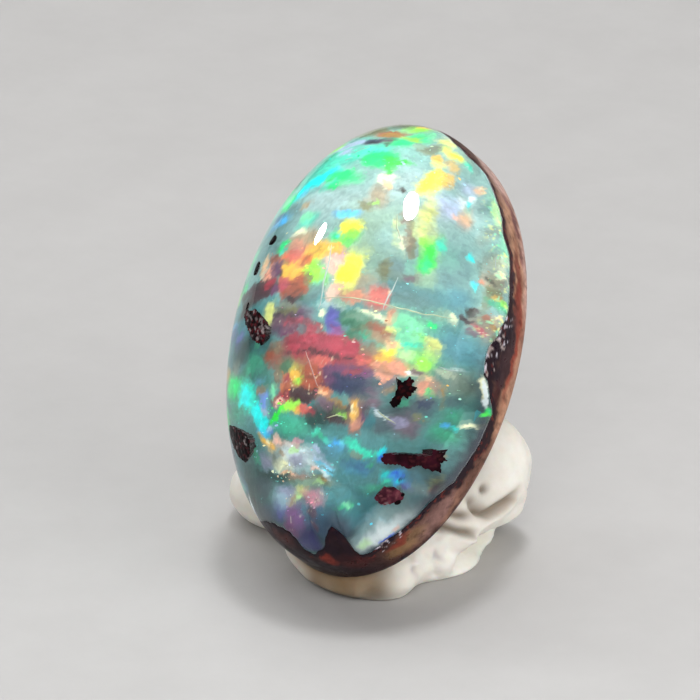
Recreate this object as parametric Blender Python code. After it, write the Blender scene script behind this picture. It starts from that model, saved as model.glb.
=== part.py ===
"""Cantera opal: an oval cabochon of clear precious opal still joined to the rhyolite it grew in,
with splinters of dark rock in its face, propped on a pressed lump of white putty.

The part stands on the putty's flat underside, whose middle is the origin. The stone's face looks
towards -Y and leans back. Sizes are in millimetres here and become metres where a mesh is made.
"""

import math

import bmesh
import bpy
import numpy as np
from mathutils import Matrix, Vector, noise

MM = 0.001

# The cut stone, in its own frame: x across, y along, z out of the face, from the middle of its back.
STONE_LENGTH = 16.0
STONE_WIDTH = 10.2
STONE_HEIGHT = 5.7
GIRDLE_HEIGHT = 1.4
BACK_BEVEL = 0.35
SEAM_GAP = 0.05  # between two pieces that touch

# How the stone sits on the putty.
FACE_RISE = 42.3  # degrees from the horizon up to the line out of the face
FACE_TURN = -17.0  # degrees that the long axis leans within the face, positive towards +X
BACK_MIDDLE = (0.3, 1.2, 6.5)

# Facets.
STONE_SEGMENTS = 64
DOME_RINGS = 11
ROCK_CELL = 0.5
PUTTY_SEGMENTS = 60
PUTTY_RINGS = 30
STONE_SHARP = 35.0  # edges that turn by more degrees than this are shaded as edges
PUTTY_SHARP = 50.0

# The rhyolite's upper surface: its height at the middle of the stone and its climb towards the top,
# then where it rises into the opal: middle x and y, half-widths, and the height it reaches.
ROCK_LEVEL = 1.55
ROCK_CLIMB = 0.05
ROCK_KNOBS = (
    ((-1.3, -7.6), (0.80, 0.75), 2.90),
    ((0.5, -8.0), (0.70, 0.80), 2.75),
    ((0.6, 7.3), (1.10, 0.55), 3.60),
    ((5.1, -1.1), (0.55, 1.20), 2.35),
    ((5.1, 0.2), (0.45, 0.55), 2.90),
    ((-4.6, 3.4), (0.80, 1.10), 2.00),
    ((-0.2, -2.2), (2.40, 1.50), 3.00),
    ((-2.2, 1.4), (1.30, 0.90), 2.70),
    ((1.6, -4.2), (1.20, 0.70), 2.50),
)
ROCK_ROUGHNESS = 0.22
ROCK_GRAIN = 0.75  # waves of roughness in a millimetre
ROCK_MARGIN = 1.0  # how far the cutting block reaches past the stone's edge
ROCK_FLOOR = -2.0  # and below its back

# Splinters of rock that the polished face cuts through. Each has its middle on the face, the turn of
# its long side, how deep it goes, and its outline (along, across) from its middle, anticlockwise.
SPLINTERS = {
    "rock_bar": (
        (3.61, -4.78),
        -10.0,
        0.75,
        ((-1.15, -0.25), (-0.60, -0.25), (-0.30, -0.40), (0.05, -0.25), (0.30, -0.40),
         (0.95, -0.55), (0.85, -0.20), (1.15, -0.15), (0.95, 0.00), (1.10, 0.25),
         (0.90, 0.15), (0.50, 0.30), (0.50, 0.05), (-0.60, 0.10), (-1.15, 0.10), (-1.25, -0.10)),
    ),
    "rock_cross": (
        (3.30, -2.79),
        61.0,
        0.70,
        ((-0.05, 0.20), (-0.25, 0.15), (-0.60, 0.15), (-0.65, -0.10), (-0.40, -0.15),
         (-0.15, -0.10), (-0.15, -0.30), (0.05, -0.30), (0.35, -0.35), (0.30, -0.15),
         (0.50, -0.10), (0.50, 0.10), (0.20, 0.20), (0.25, 0.45)),
    ),
    "rock_leaf": (
        (-2.98, -4.47),
        -20.0,
        0.80,
        ((-1.05, -0.25), (-0.50, -0.45), (0.00, -0.55), (0.70, -0.50), (0.85, -0.35),
         (0.90, -0.05), (0.75, 0.35), (0.35, 0.45), (-0.05, 0.35), (-0.50, 0.30), (-1.15, 0.05)),
    ),
    "rock_flake": (
        (-2.46, -0.76),
        -40.0,
        0.75,
        ((-1.00, -0.30), (-0.50, -0.35), (0.35, -0.40), (0.65, -0.30), (0.95, -0.20),
         (0.95, -0.05), (0.65, 0.30), (0.20, 0.40), (-0.50, 0.35), (-0.85, 0.05), (-1.15, -0.05)),
    ),
    "rock_bead": (
        (2.75, -6.14),
        -8.0,
        0.55,
        ((-0.45, -0.15), (-0.20, -0.35), (0.35, -0.30), (0.55, -0.10), (0.40, 0.05),
         (0.20, 0.25), (-0.15, 0.30), (-0.50, 0.00)),
    ),
}
SPLINTER_TAPER = 0.6  # share of its outline that a splinter keeps at its inner end
SPLINTER_RISE = 0.5  # how far a cutter stands out of the face

# The putty: soft lobes (middle, radii) pressed into one lump, seen from its flat underside up.
PUTTY_MIDDLE = (-0.2, 0.5, 1.5)
PUTTY_LOBES = (
    ((0.9, -0.6, 1.1), (3.1, 3.2, 2.0)),
    ((-0.4, 1.6, 2.4), (3.8, 2.8, 3.0)),
    ((2.9, 2.6, 2.4), (1.9, 1.8, 2.3)),
    ((-3.4, -0.6, 1.1), (1.6, 1.7, 1.3)),
    ((1.9, -2.6, 0.5), (2.0, 1.2, 0.9)),
    ((3.2, 0.4, 0.7), (1.3, 1.5, 1.0)),
)
LOBE_SHARPNESS = 5.0
PUTTY_DENTS = 0.10
DENTS_AROUND = 5.0
PUTTY_REACH = 9.0  # no part of the lump is further from PUTTY_MIDDLE
REACH_STEPS = 300


def material(name, colour, roughness, clear=0.0):
    made = bpy.data.materials.new(name)
    made.use_nodes = True
    shader = made.node_tree.nodes["Principled BSDF"]
    shader.inputs["Base Color"].default_value = (*colour, 1.0)
    shader.inputs["Roughness"].default_value = roughness
    shader.inputs["Metallic"].default_value = 0.0
    shader.inputs["Transmission Weight"].default_value = clear
    made.diffuse_color = (*colour, 1.0)
    return made


def mesh_object(name, points, faces, finish=None):
    """A mesh object from points in millimetres, with its faces pointing out as listed."""
    mesh = bpy.data.meshes.new(name)
    mesh.from_pydata([tuple(c * MM for c in point) for point in points], [], faces)
    mesh.update()
    made = bpy.data.objects.new(name, mesh)
    bpy.context.scene.collection.objects.link(made)
    if finish is not None:
        mesh.materials.append(finish)
    return made


def make_cutter(obj):
    obj.hide_render = True
    obj.display_type = "WIRE"
    return obj


def cut(obj, operation, other):
    """Applies a Boolean with other straight to obj's own mesh."""
    modifier = obj.modifiers.new(operation.lower(), "BOOLEAN")
    modifier.operation = operation
    modifier.object = other
    modifier.solver = "EXACT"
    graph = bpy.context.evaluated_depsgraph_get()
    changed = bpy.data.meshes.new_from_object(obj.evaluated_get(graph))
    obj.modifiers.remove(modifier)
    obj.data = changed


# The stone's outer shape.


def stone_profile(grow):
    """(share of the half-width, height) from the back up to the last ring below the top of the dome."""
    bevel_share = 1.0 - BACK_BEVEL / (STONE_WIDTH / 2)
    rings = [(bevel_share, -grow), (1.0, BACK_BEVEL - grow)]
    rise = STONE_HEIGHT - GIRDLE_HEIGHT
    for step in range(DOME_RINGS):
        turn = 0.5 * math.pi * step / DOME_RINGS
        rings.append((math.cos(turn), GIRDLE_HEIGHT + (rise + grow) * math.sin(turn)))
    return rings


def cabochon(name, grow=0.0, finish=None):
    """The whole cut stone, closed, larger by grow all round."""
    half_width = STONE_WIDTH / 2 + grow
    half_length = STONE_LENGTH / 2 + grow
    rings = stone_profile(grow)
    points, faces = [], []
    for share, height in rings:
        for segment in range(STONE_SEGMENTS):
            turn = 2 * math.pi * segment / STONE_SEGMENTS
            across = half_width * share * math.cos(turn)
            along = half_length * share * math.sin(turn)
            points.append((across, along, height))
    for ring in range(len(rings) - 1):
        low, high = ring * STONE_SEGMENTS, (ring + 1) * STONE_SEGMENTS
        for segment in range(STONE_SEGMENTS):
            after = (segment + 1) % STONE_SEGMENTS
            faces.append((low + segment, low + after, high + after, high + segment))
    faces.append(tuple(reversed(range(STONE_SEGMENTS))))
    top = len(points)
    points.append((0.0, 0.0, STONE_HEIGHT + grow))
    last = (len(rings) - 1) * STONE_SEGMENTS
    for segment in range(STONE_SEGMENTS):
        faces.append((last + segment, last + (segment + 1) % STONE_SEGMENTS, top))
    return mesh_object(name, points, faces, finish)


def dome_point(across, along):
    """The point of the dome above a place on the face, and the way out of it there."""
    half_width, half_length = STONE_WIDTH / 2, STONE_LENGTH / 2
    rise = STONE_HEIGHT - GIRDLE_HEIGHT
    share = math.sqrt(1.0 - (across / half_width) ** 2 - (along / half_length) ** 2)
    outward = Vector((across / half_width**2, along / half_length**2, share / rise))
    return Vector((across, along, GIRDLE_HEIGHT + rise * share)), outward.normalized()


# The rhyolite, and the opal that fills the hollow above it.


def rock_height(across, along):
    """How high the rhyolite reaches at a place on the face."""
    grain = Vector((across, along, 0.0)) * ROCK_GRAIN
    level = ROCK_LEVEL + ROCK_CLIMB * along
    height = level + ROCK_ROUGHNESS * noise.noise(grain)
    for (middle_x, middle_y), (wide, long), reach in ROCK_KNOBS:
        far = ((across - middle_x) / wide) ** 2 + ((along - middle_y) / long) ** 2
        height += (reach - level) * math.exp(-far)
    return height


def rock_slab(name, lift):
    """A block with the rhyolite's upper surface on top, raised by lift, wider and deeper than the stone."""
    reach_x, reach_y = STONE_WIDTH / 2 + ROCK_MARGIN, STONE_LENGTH / 2 + ROCK_MARGIN
    columns = round(2 * reach_x / ROCK_CELL)
    rows = round(2 * reach_y / ROCK_CELL)
    points = []
    for row in range(rows + 1):
        for column in range(columns + 1):
            across = -reach_x + 2 * reach_x * column / columns
            along = -reach_y + 2 * reach_y * row / rows
            points.append((across, along, rock_height(across, along) + lift))
    width = columns + 1
    faces = []
    for row in range(rows):
        for column in range(columns):
            corner = row * width + column
            faces.append((corner, corner + 1, corner + width + 1))
            faces.append((corner, corner + width + 1, corner + width))
    rim = list(range(columns))
    rim += [row * width + columns for row in range(rows)]
    rim += [rows * width + column for column in range(columns, 0, -1)]
    rim += [row * width for row in range(rows, 0, -1)]
    start = len(points)
    points += [(points[index][0], points[index][1], ROCK_FLOOR) for index in rim]
    for place, index in enumerate(rim):
        after = (place + 1) % len(rim)
        faces.append((start + place, start + after, rim[after], index))
    faces.append(tuple(start + place for place in reversed(range(len(rim)))))
    return make_cutter(mesh_object(name, points, faces))


def grown_outline(outline, grow):
    """The outline with each side moved out by grow."""
    grown = []
    for index, here in enumerate(outline):
        before, after = outline[index - 1], outline[(index + 1) % len(outline)]
        first = Vector((here[1] - before[1], before[0] - here[0])).normalized()
        second = Vector((after[1] - here[1], here[0] - after[0])).normalized()
        corner = first + second
        corner *= 2 * grow / corner.length_squared
        grown.append((here[0] + corner.x, here[1] + corner.y))
    return grown


def splinter(name, place, turn, depth, outline, grow=0.0):
    """A tapered prism from outside the face to its depth, with its true outline at the face."""
    middle, outward = dome_point(*place)
    side = Vector((math.cos(math.radians(turn)), math.sin(math.radians(turn)), 0.0))
    along = (side - outward * side.dot(outward)).normalized()
    across = outward.cross(along)
    count = len(outline)
    narrowing = (1.0 - SPLINTER_TAPER) / depth
    points = []
    for height in (-depth - grow, SPLINTER_RISE + grow):
        share = 1.0 + narrowing * height
        for a, c in grown_outline([(a * share, c * share) for a, c in outline], grow):
            points.append(middle + along * a + across * c + outward * height)
    faces = [tuple(reversed(range(count))), tuple(range(count, 2 * count))]
    for index in range(count):
        after = (index + 1) % count
        faces.append((index, after, count + after, count + index))
    return mesh_object(name, points, faces)


def build_stone():
    """The opal, the rhyolite and the splinters, in the stone's own frame."""
    clear_opal = material("clear_opal", (0.45, 0.78, 0.72), 0.05, clear=0.6)
    brown_rock = material("brown_rhyolite", (0.30, 0.15, 0.11), 0.45)
    dark_rock = material("dark_rock", (0.06, 0.025, 0.02), 0.5)

    rhyolite = cabochon("rhyolite_matrix", finish=brown_rock)
    cut(rhyolite, "INTERSECT", rock_slab("rock_below_seam", -SEAM_GAP / 2))

    opal = cabochon("opal", finish=clear_opal)
    cut(opal, "DIFFERENCE", rock_slab("rock_above_seam", SEAM_GAP / 2))

    whole = make_cutter(cabochon("stone_outline"))
    pieces = [opal, rhyolite]
    for name, (place, turn, depth, outline) in SPLINTERS.items():
        pocket = make_cutter(splinter(name + "_pocket", place, turn, depth, outline, SEAM_GAP))
        cut(opal, "DIFFERENCE", pocket)
        piece = splinter(name, place, turn, depth, outline)
        piece.data.materials.append(dark_rock)
        cut(piece, "INTERSECT", whole)
        pieces.append(piece)
    for piece in pieces:
        piece.data.shade_smooth()
        piece.data.set_sharp_from_angle(angle=math.radians(STONE_SHARP))
    return pieces


def stone_place():
    """Turns the stone's own frame to how it leans on the putty."""
    rise, turn = math.radians(FACE_RISE), math.radians(FACE_TURN)
    out_of_face = Vector((0.0, -math.cos(rise), math.sin(rise)))
    up_the_face = Vector((0.0, math.sin(rise), math.cos(rise)))
    along = up_the_face * math.cos(turn) + Vector((1.0, 0.0, 0.0)) * math.sin(turn)
    across = along.cross(out_of_face)
    place = Matrix((across, along, out_of_face)).transposed().to_4x4()
    place.translation = Vector(BACK_MIDDLE) * MM
    return place


# The putty.


def lump_reach(direction):
    """How far the lump reaches from PUTTY_MIDDLE in one direction."""
    steps = np.linspace(PUTTY_REACH, 0.0, REACH_STEPS)
    places = np.array(PUTTY_MIDDLE) + steps[:, None] * np.array(direction)
    inside = np.zeros(len(steps))
    for middle, radii in PUTTY_LOBES:
        far = np.sqrt((((places - middle) / radii) ** 2).sum(axis=1))
        inside += np.exp(-LOBE_SHARPNESS * (far - 1.0))
    return float(steps[np.argmax(inside >= 1.0)])


def putty_lump():
    """The closed lump before its underside is pressed flat."""
    points, faces = [], []
    middle = Vector(PUTTY_MIDDLE)
    for ring in range(1, PUTTY_RINGS):
        tilt = math.pi * ring / PUTTY_RINGS
        for segment in range(PUTTY_SEGMENTS):
            turn = 2 * math.pi * segment / PUTTY_SEGMENTS
            flat = math.sin(tilt)
            direction = Vector((flat * math.cos(turn), flat * math.sin(turn), math.cos(tilt)))
            dent = PUTTY_DENTS * noise.noise(direction * DENTS_AROUND)
            points.append(middle + direction * (lump_reach(direction) + dent))
    for ring in range(PUTTY_RINGS - 2):
        high, low = ring * PUTTY_SEGMENTS, (ring + 1) * PUTTY_SEGMENTS
        for segment in range(PUTTY_SEGMENTS):
            after = (segment + 1) % PUTTY_SEGMENTS
            faces.append((high + segment, low + segment, low + after, high + after))
    top, bottom = len(points), len(points) + 1
    for way in (1, -1):
        points.append(middle + Vector((0.0, 0.0, way * lump_reach((0, 0, way)))))
    last = (PUTTY_RINGS - 2) * PUTTY_SEGMENTS
    for segment in range(PUTTY_SEGMENTS):
        after = (segment + 1) % PUTTY_SEGMENTS
        faces.append((segment, after, top))
        faces.append((last + after, last + segment, bottom))
    return mesh_object("mounting_putty", points, faces)


def press_flat(obj):
    """Cuts off what lies under the table's plane and closes the cut with one flat face."""
    shape = bmesh.new()
    shape.from_mesh(obj.data)
    everything = shape.verts[:] + shape.edges[:] + shape.faces[:]
    bmesh.ops.bisect_plane(shape, geom=everything, plane_no=(0, 0, 1), clear_inner=True)
    rim = [edge for edge in shape.edges if edge.is_boundary]
    bmesh.ops.edgeloop_fill(shape, edges=rim)
    bmesh.ops.recalc_face_normals(shape, faces=shape.faces[:])
    shape.to_mesh(obj.data)
    shape.free()


def build_putty():
    """A lump of lobes with a flat underside and a seat that the stone has pressed into it."""
    putty = putty_lump()
    press_flat(putty)
    putty.data.materials.append(material("white_putty", (0.82, 0.76, 0.66), 0.6))
    seat = make_cutter(cabochon("stone_seat", grow=SEAM_GAP))
    seat.matrix_world = stone_place()
    bpy.context.view_layer.update()
    cut(putty, "DIFFERENCE", seat)
    putty.data.shade_smooth()
    putty.data.set_sharp_from_angle(angle=math.radians(PUTTY_SHARP))
    return putty


def main():
    for obj in list(bpy.data.objects):
        bpy.data.objects.remove(obj)
    build_putty()
    stone = bpy.data.objects.new("stone", None)
    bpy.context.scene.collection.objects.link(stone)
    for piece in build_stone():
        piece.parent = stone
    stone.matrix_world = stone_place()


main()
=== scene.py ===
import math

import bmesh
import bpy
import numpy as np
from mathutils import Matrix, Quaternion, Vector, noise
from mathutils.geometry import delaunay_2d_cdt


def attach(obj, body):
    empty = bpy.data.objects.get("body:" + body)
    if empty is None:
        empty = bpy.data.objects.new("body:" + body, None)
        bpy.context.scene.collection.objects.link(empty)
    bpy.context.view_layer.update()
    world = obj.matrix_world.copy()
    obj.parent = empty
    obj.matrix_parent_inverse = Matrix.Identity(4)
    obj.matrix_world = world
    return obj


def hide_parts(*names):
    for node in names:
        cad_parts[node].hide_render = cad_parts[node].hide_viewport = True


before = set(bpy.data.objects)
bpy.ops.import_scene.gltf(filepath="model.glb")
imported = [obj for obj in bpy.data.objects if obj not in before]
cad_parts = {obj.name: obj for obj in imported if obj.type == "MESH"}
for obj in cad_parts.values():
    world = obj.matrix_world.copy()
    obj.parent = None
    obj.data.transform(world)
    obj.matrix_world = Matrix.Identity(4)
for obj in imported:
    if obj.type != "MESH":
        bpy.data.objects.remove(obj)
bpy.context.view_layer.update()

# The rhyolite. Brown volcanic rock that the opal grew in, sawn flat at the back and polished round its
# edge. It is left on as the stone's base and shows as a rim, with tongues that climb into the opal.
MM = 0.001
STONE_LENGTH, STONE_WIDTH, STONE_HEIGHT = 16.0, 10.2, 5.7
GIRDLE_HEIGHT, BACK_BEVEL = 1.4, 0.35
FACE_RISE, FACE_TURN, BACK_MIDDLE = 42.3, -17.0, (0.3, 1.2, 6.5)
HALF = np.array((STONE_WIDTH / 2, STONE_LENGTH / 2, STONE_HEIGHT - GIRDLE_HEIGHT))
MAP_HALF = np.array((7.0, 10.0))  # the dome laid out flat: half its width and length at the girdle
ROCK_LEVEL, ROCK_CLIMB, ROCK_ROUGHNESS, ROCK_GRAIN = 1.55, 0.05, 0.22, 0.75
# The knobs of rock that climb into the opal: middle, half-sizes and height.
ROCK_KNOBS = (
    ((-1.3, -7.6), (0.80, 0.75), 2.90), ((0.5, -8.0), (0.70, 0.80), 2.75),
    ((0.6, 7.3), (1.10, 0.55), 3.60), ((5.1, -1.1), (0.55, 1.20), 2.35),
    ((5.1, 0.2), (0.45, 0.55), 2.90), ((-4.6, 3.4), (0.80, 1.10), 2.00),
    ((-0.2, -2.2), (2.40, 1.50), 3.00), ((-2.2, 1.4), (1.30, 0.90), 2.70),
    ((1.6, -4.2), (1.20, 0.70), 2.50),
)
RIM_SEGMENTS = 640


def stone_place():
    """Turns the stone's own frame, x across, y along and z out of the face, to how it leans."""
    rise, turn = math.radians(FACE_RISE), math.radians(FACE_TURN)
    out_of_face = Vector((0.0, -math.cos(rise), math.sin(rise)))
    up_the_face = Vector((0.0, math.sin(rise), math.cos(rise)))
    along = up_the_face * math.cos(turn) + Vector((1.0, 0.0, 0.0)) * math.sin(turn)
    return np.array((along.cross(out_of_face), along, out_of_face))


STONE_AXES = stone_place()


def to_world(points):
    """Points of the stone's own frame, in millimetres, as metres in the part's frame."""
    return (np.asarray(points) @ STONE_AXES + BACK_MIDDLE) * MM


def over_dome(x, y, depth=0.0):
    """The points under places on the laid-out dome. Past the girdle they run down the stone's wall."""
    across, along = x / MAP_HALF[0], y / MAP_HALF[1]
    swing = np.arctan2(along, across)
    tilt = np.maximum(0.5 * np.pi * np.hypot(across, along), 1e-6)
    ring = np.sin(np.minimum(tilt, 0.5 * np.pi))
    lift = np.where(tilt < 0.5 * np.pi, np.cos(tilt), 1.0 / np.tan(tilt))
    half = HALF - np.expand_dims(depth, -1)
    spread = np.stack((ring * np.cos(swing), ring * np.sin(swing), lift), -1)
    return spread * half + (0.0, 0.0, GIRDLE_HEIGHT)


def rock_top(x, y):
    """The height of the rhyolite's upper surface, under the opal."""
    level = ROCK_LEVEL + ROCK_CLIMB * y
    height = level + ROCK_ROUGHNESS * noise.noise(Vector((x, y, 0.0)) * ROCK_GRAIN)
    for (middle_x, middle_y), (wide, long), reach in ROCK_KNOBS:
        far = ((x - middle_x) / wide) ** 2 + ((y - middle_y) / long) ** 2
        height += (reach - level) * math.exp(-far)
    return height


def rock_tops(flat):
    return np.array([rock_top(x, y) for x, y in flat])


def on_map(tilt, turn):
    """Places on the laid-out dome from how far down and round it they are, in radians."""
    far = tilt / (0.5 * np.pi)
    return far * np.cos(turn) * MAP_HALF[0], far * np.sin(turn) * MAP_HALF[1]


CLOUD_CELLS = 97  # clouds repeat after this many of their own sizes


def cloud(x, y, size, seed):
    """Smooth random values from -1 to 1 that change over about size millimetres."""
    lattice = np.random.default_rng(seed).uniform(-1.0, 1.0, (CLOUD_CELLS, CLOUD_CELLS))
    across, along = x / size + CLOUD_CELLS // 2, y / size + CLOUD_CELLS // 2
    column, row = np.floor(across).astype(int), np.floor(along).astype(int)
    right, up = across - column, along - row
    right, up = right * right * (3 - 2 * right), up * up * (3 - 2 * up)
    columns, rows = ((start % CLOUD_CELLS, (start + 1) % CLOUD_CELLS) for start in (column, row))
    low, high = (
        lattice[line, columns[0]] * (1 - right) + lattice[line, columns[1]] * right for line in rows
    )
    return low * (1 - up) + high * up


def ramble(x, y, size, seed, octaves=3):
    """Layers of cloud, each half the size and half the strength of the one before."""
    return sum(cloud(x, y, size / 2**step, seed + step) / 2**step for step in range(octaves))


def smooth_step(low, high, value):
    """From 0 at low to 1 at high, level at both ends."""
    share = np.clip((value - low) / (high - low), 0.0, 1.0)
    return share * share * (3.0 - 2.0 * share)


def smooth_drop(high, low, value):
    """From 1 at high to 0 at low."""
    return 1.0 - smooth_step(high, low, value)


# The bends of the seam down the right of the face and along its foot, on the laid-out dome.
SEAM_BENDS = (
    (-2.3, 8.7), (-1.2, 9.3), (0.0, 9.7), (1.0, 9.2), (1.9, 8.5), (2.6, 7.8), (3.3, 7.4),
    (3.8, 7.4), (4.1, 7.35), (4.4, 7.1), (4.65, 6.8), (4.85, 6.5),
    (5.05, 6.15), (5.3, 5.8), (5.5, 5.45), (5.6, 5.0), (5.7, 4.7), (5.8, 4.5), (5.95, 4.35),
    (6.15, 4.1), (6.3, 3.9), (6.4, 3.5), (6.5, 3.1), (6.55, 2.75), (6.65, 2.45), (6.7, 2.15),
    (6.75, 1.9), (6.8, 1.5), (6.75, 1.2), (6.7, 0.9), (6.55, 0.55), (6.5, 0.2), (6.3, -0.1),
    (6.15, -0.4), (6.1, -0.7), (6.1, -1.0), (6.1, -1.3), (6.15, -1.6), (6.4, -1.7), (6.6, -2.1),
    (6.8, -2.5), (7.0, -2.8), (7.1, -3.1), (7.0, -3.35), (6.9, -3.75), (6.8, -4.1),
    (6.7, -4.55), (6.5, -4.95), (6.25, -5.35), (6.1, -5.6), (5.9, -5.95), (5.7, -6.25),
    (5.35, -6.45), (5.05, -6.65), (4.75, -6.9), (4.45, -7.15), (4.15, -7.55), (3.85, -7.8),
    (3.5, -8.1), (3.1, -8.35), (2.75, -8.55), (2.45, -8.9), (2.15, -9.1), (1.8, -9.2),
    (1.62, -9.1), (1.50, -8.6), (1.42, -8.2), (1.34, -7.8), (1.24, -7.55), (1.08, -7.3),
    (0.92, -7.2), (0.76, -7.35), (0.60, -7.65), (0.50, -7.9), (0.40, -8.3), (0.28, -8.5),
    (0.1, -8.7), (-0.3, -8.8), (-0.5, -8.75), (-0.60, -8.55), (-0.68, -8.3), (-0.76, -7.85),
    (-0.95, -7.6), (-1.3, -7.4), (-1.7, -7.35), (-2.1, -7.35), (-2.45, -7.3), (-2.8, -7.5),
)
BEND_BLEND = 0.20  # radians over which the seam eases back to the rock's own level at both ends
SEAM_TRIALS = np.arange(0.6, 1.86, 0.004)  # tilts at which rock is looked for, in radians
SEAM_RIPPLE, FOOT_RIPPLE = 0.006, 0.014  # radians, all round and besides along the foot
FOOT_TURNS = (4.10, 4.20, 4.98, 5.05)  # radians, where the foot's ripple starts, is full, fades and ends


def seam_tilts():
    """For each turn round the stone, the tilt from the top of the dome at which rock begins."""
    turns = np.linspace(0.0, 2 * np.pi, RIM_SEGMENTS, endpoint=False)
    tilts = []
    for turn in turns:
        x, y = MAP_HALF * (math.cos(turn), math.sin(turn)) / (0.5 * np.pi)
        tried = over_dome(x * SEAM_TRIALS, y * SEAM_TRIALS)
        sunk = [height < rock_top(across, along) for across, along, height in tried]
        tilts.append(SEAM_TRIALS[sunk.index(True)] if True in sunk else SEAM_TRIALS[-1])
    tilts = np.array(tilts)
    bends = np.array(SEAM_BENDS) / MAP_HALF
    bend_turns = np.unwrap(np.arctan2(bends[:, 1], bends[:, 0]))[::-1]
    bend_tilts = 0.5 * np.pi * np.hypot(*bends.T)[::-1]
    middle = 0.5 * (bend_turns[0] + bend_turns[-1])
    near = (turns - middle + np.pi) % (2 * np.pi) - np.pi + middle
    followed = np.interp(near, bend_turns, bend_tilts)
    gap = np.maximum(bend_turns[0] - near, near - bend_turns[-1])
    tilts = tilts + (followed - tilts) * smooth_drop(0.0, BEND_BLEND, gap)
    ripple = ramble(np.cos(turns) * 40, np.sin(turns) * 40, 1.6, 5, 4)
    foot = smooth_step(*FOOT_TURNS[:2], turns) * smooth_drop(*FOOT_TURNS[2:], turns)
    return turns, tilts + (SEAM_RIPPLE + FOOT_RIPPLE * foot) * ripple


TURNS, SEAM = seam_tilts()
TURN_WAYS = np.stack((np.cos(TURNS), np.sin(TURNS)), -1) * MAP_HALF


def srgb(red, green, blue):
    """A colour given as 0 to 255 on a screen, in the linear values that shading uses."""
    values = np.array((red, green, blue)) / 255.0
    return np.where(values <= 0.04045, values / 12.92, ((values + 0.055) / 1.055) ** 2.4)


def paints(**shades):
    return {name: srgb(*shade) for name, shade in shades.items()}


def tinted(colours, tint, share):
    """Colours moved towards a tint by each point's own share."""
    return colours + (tint - colours) * share[:, None]


def ringed_mesh(name, rings):
    """A closed surface of rings, each with as many points, with its first and last ring gathered."""
    count, around = rings.shape[:2]
    points = np.concatenate((rings.reshape(-1, 3), rings[:1].mean(1), rings[-1:].mean(1)))
    first, last = count * around, count * around + 1
    ring = np.arange(around)
    after = (ring + 1) % around
    faces = []
    for step in range(count - 1):
        low, high = step * around, (step + 1) * around
        faces += np.stack((low + ring, low + after, high + after, high + ring), -1).tolist()
    faces += np.stack((np.full(around, first), after, ring), -1).tolist()
    end = (count - 1) * around
    faces += np.stack((np.full(around, last), end + ring, end + after), -1).tolist()
    return solid_mesh(name, points, faces)


def solid_mesh(name, points, faces):
    mesh = bpy.data.meshes.new(name)
    mesh.from_pydata(points.tolist(), [], faces)
    mesh.update()
    mesh.shade_smooth()
    return put_in_scene(name, mesh)


def put_in_scene(name, data):
    made = bpy.data.objects.new(name, data)
    bpy.context.scene.collection.objects.link(made)
    return made


def give_colour_and_painted_light(made, colours):
    """Gives each point of a mesh its own colour, which the material reads: the thing's own colours, and
    painted shade, highlights and glints.
    """
    colour_and_painted_light = made.data.color_attributes.new("colour_and_painted_light", "FLOAT_COLOR", "POINT")
    values = np.concatenate((colours, np.ones((len(colours), 1))), 1)
    colour_and_painted_light.data.foreach_set("color", values.astype(np.float32).ravel())


SQUARENESS = 2.7  # of a daubed patch's outline, from 2, an oval, towards a square


def daub(colours, x, y, patches, palette):
    """Lays patches over colours: place, half-sizes, turn in degrees, colour, softness, strength."""
    colours = colours.copy()
    for across, along, wide, long, turn, tint, soft, strength in patches:
        reach = max(wide, long) * (1.0 + soft)
        near = np.flatnonzero(np.maximum(np.abs(x - across), np.abs(y - along)) < reach)
        cosine, sine = math.cos(math.radians(turn)), math.sin(math.radians(turn))
        right = ((x[near] - across) * cosine + (y[near] - along) * sine) / wide
        up = ((y[near] - along) * cosine - (x[near] - across) * sine) / long
        apart = (np.abs(right) ** SQUARENESS + np.abs(up) ** SQUARENESS) ** (1.0 / SQUARENESS)
        cover = strength * smooth_drop(1.0 - soft, 1.0 + soft, apart)
        colours[near] = tinted(colours[near], palette[tint], cover)
    return colours


def map_places(points):
    """The places on the laid-out dome of points of the stone's surface."""
    spread = (points - (0.0, 0.0, GIRDLE_HEIGHT)) / HALF
    ring = np.hypot(spread[:, 0], spread[:, 1])
    tilt = np.arctan2(ring, spread[:, 2]) / (0.5 * np.pi)
    share = tilt / np.maximum(ring, 1e-9)
    return spread[:, 0] * share * MAP_HALF[0], spread[:, 1] * share * MAP_HALF[1]


ROCK_COLOURS = paints(
    taupe=(112, 78, 66), tan=(176, 128, 104), salmon=(208, 156, 124), rust=(128, 62, 46),
    maroon=(74, 28, 28), plum=(44, 22, 36), umber=(66, 40, 34), petal=(222, 182, 172),
    mulberry=(124, 68, 76), brick=(150, 58, 44), dusty=(150, 112, 104), ochre=(150, 116, 78),
    olive=(110, 110, 60), ink=(24, 14, 28), frost=(232, 224, 236),
)
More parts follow.
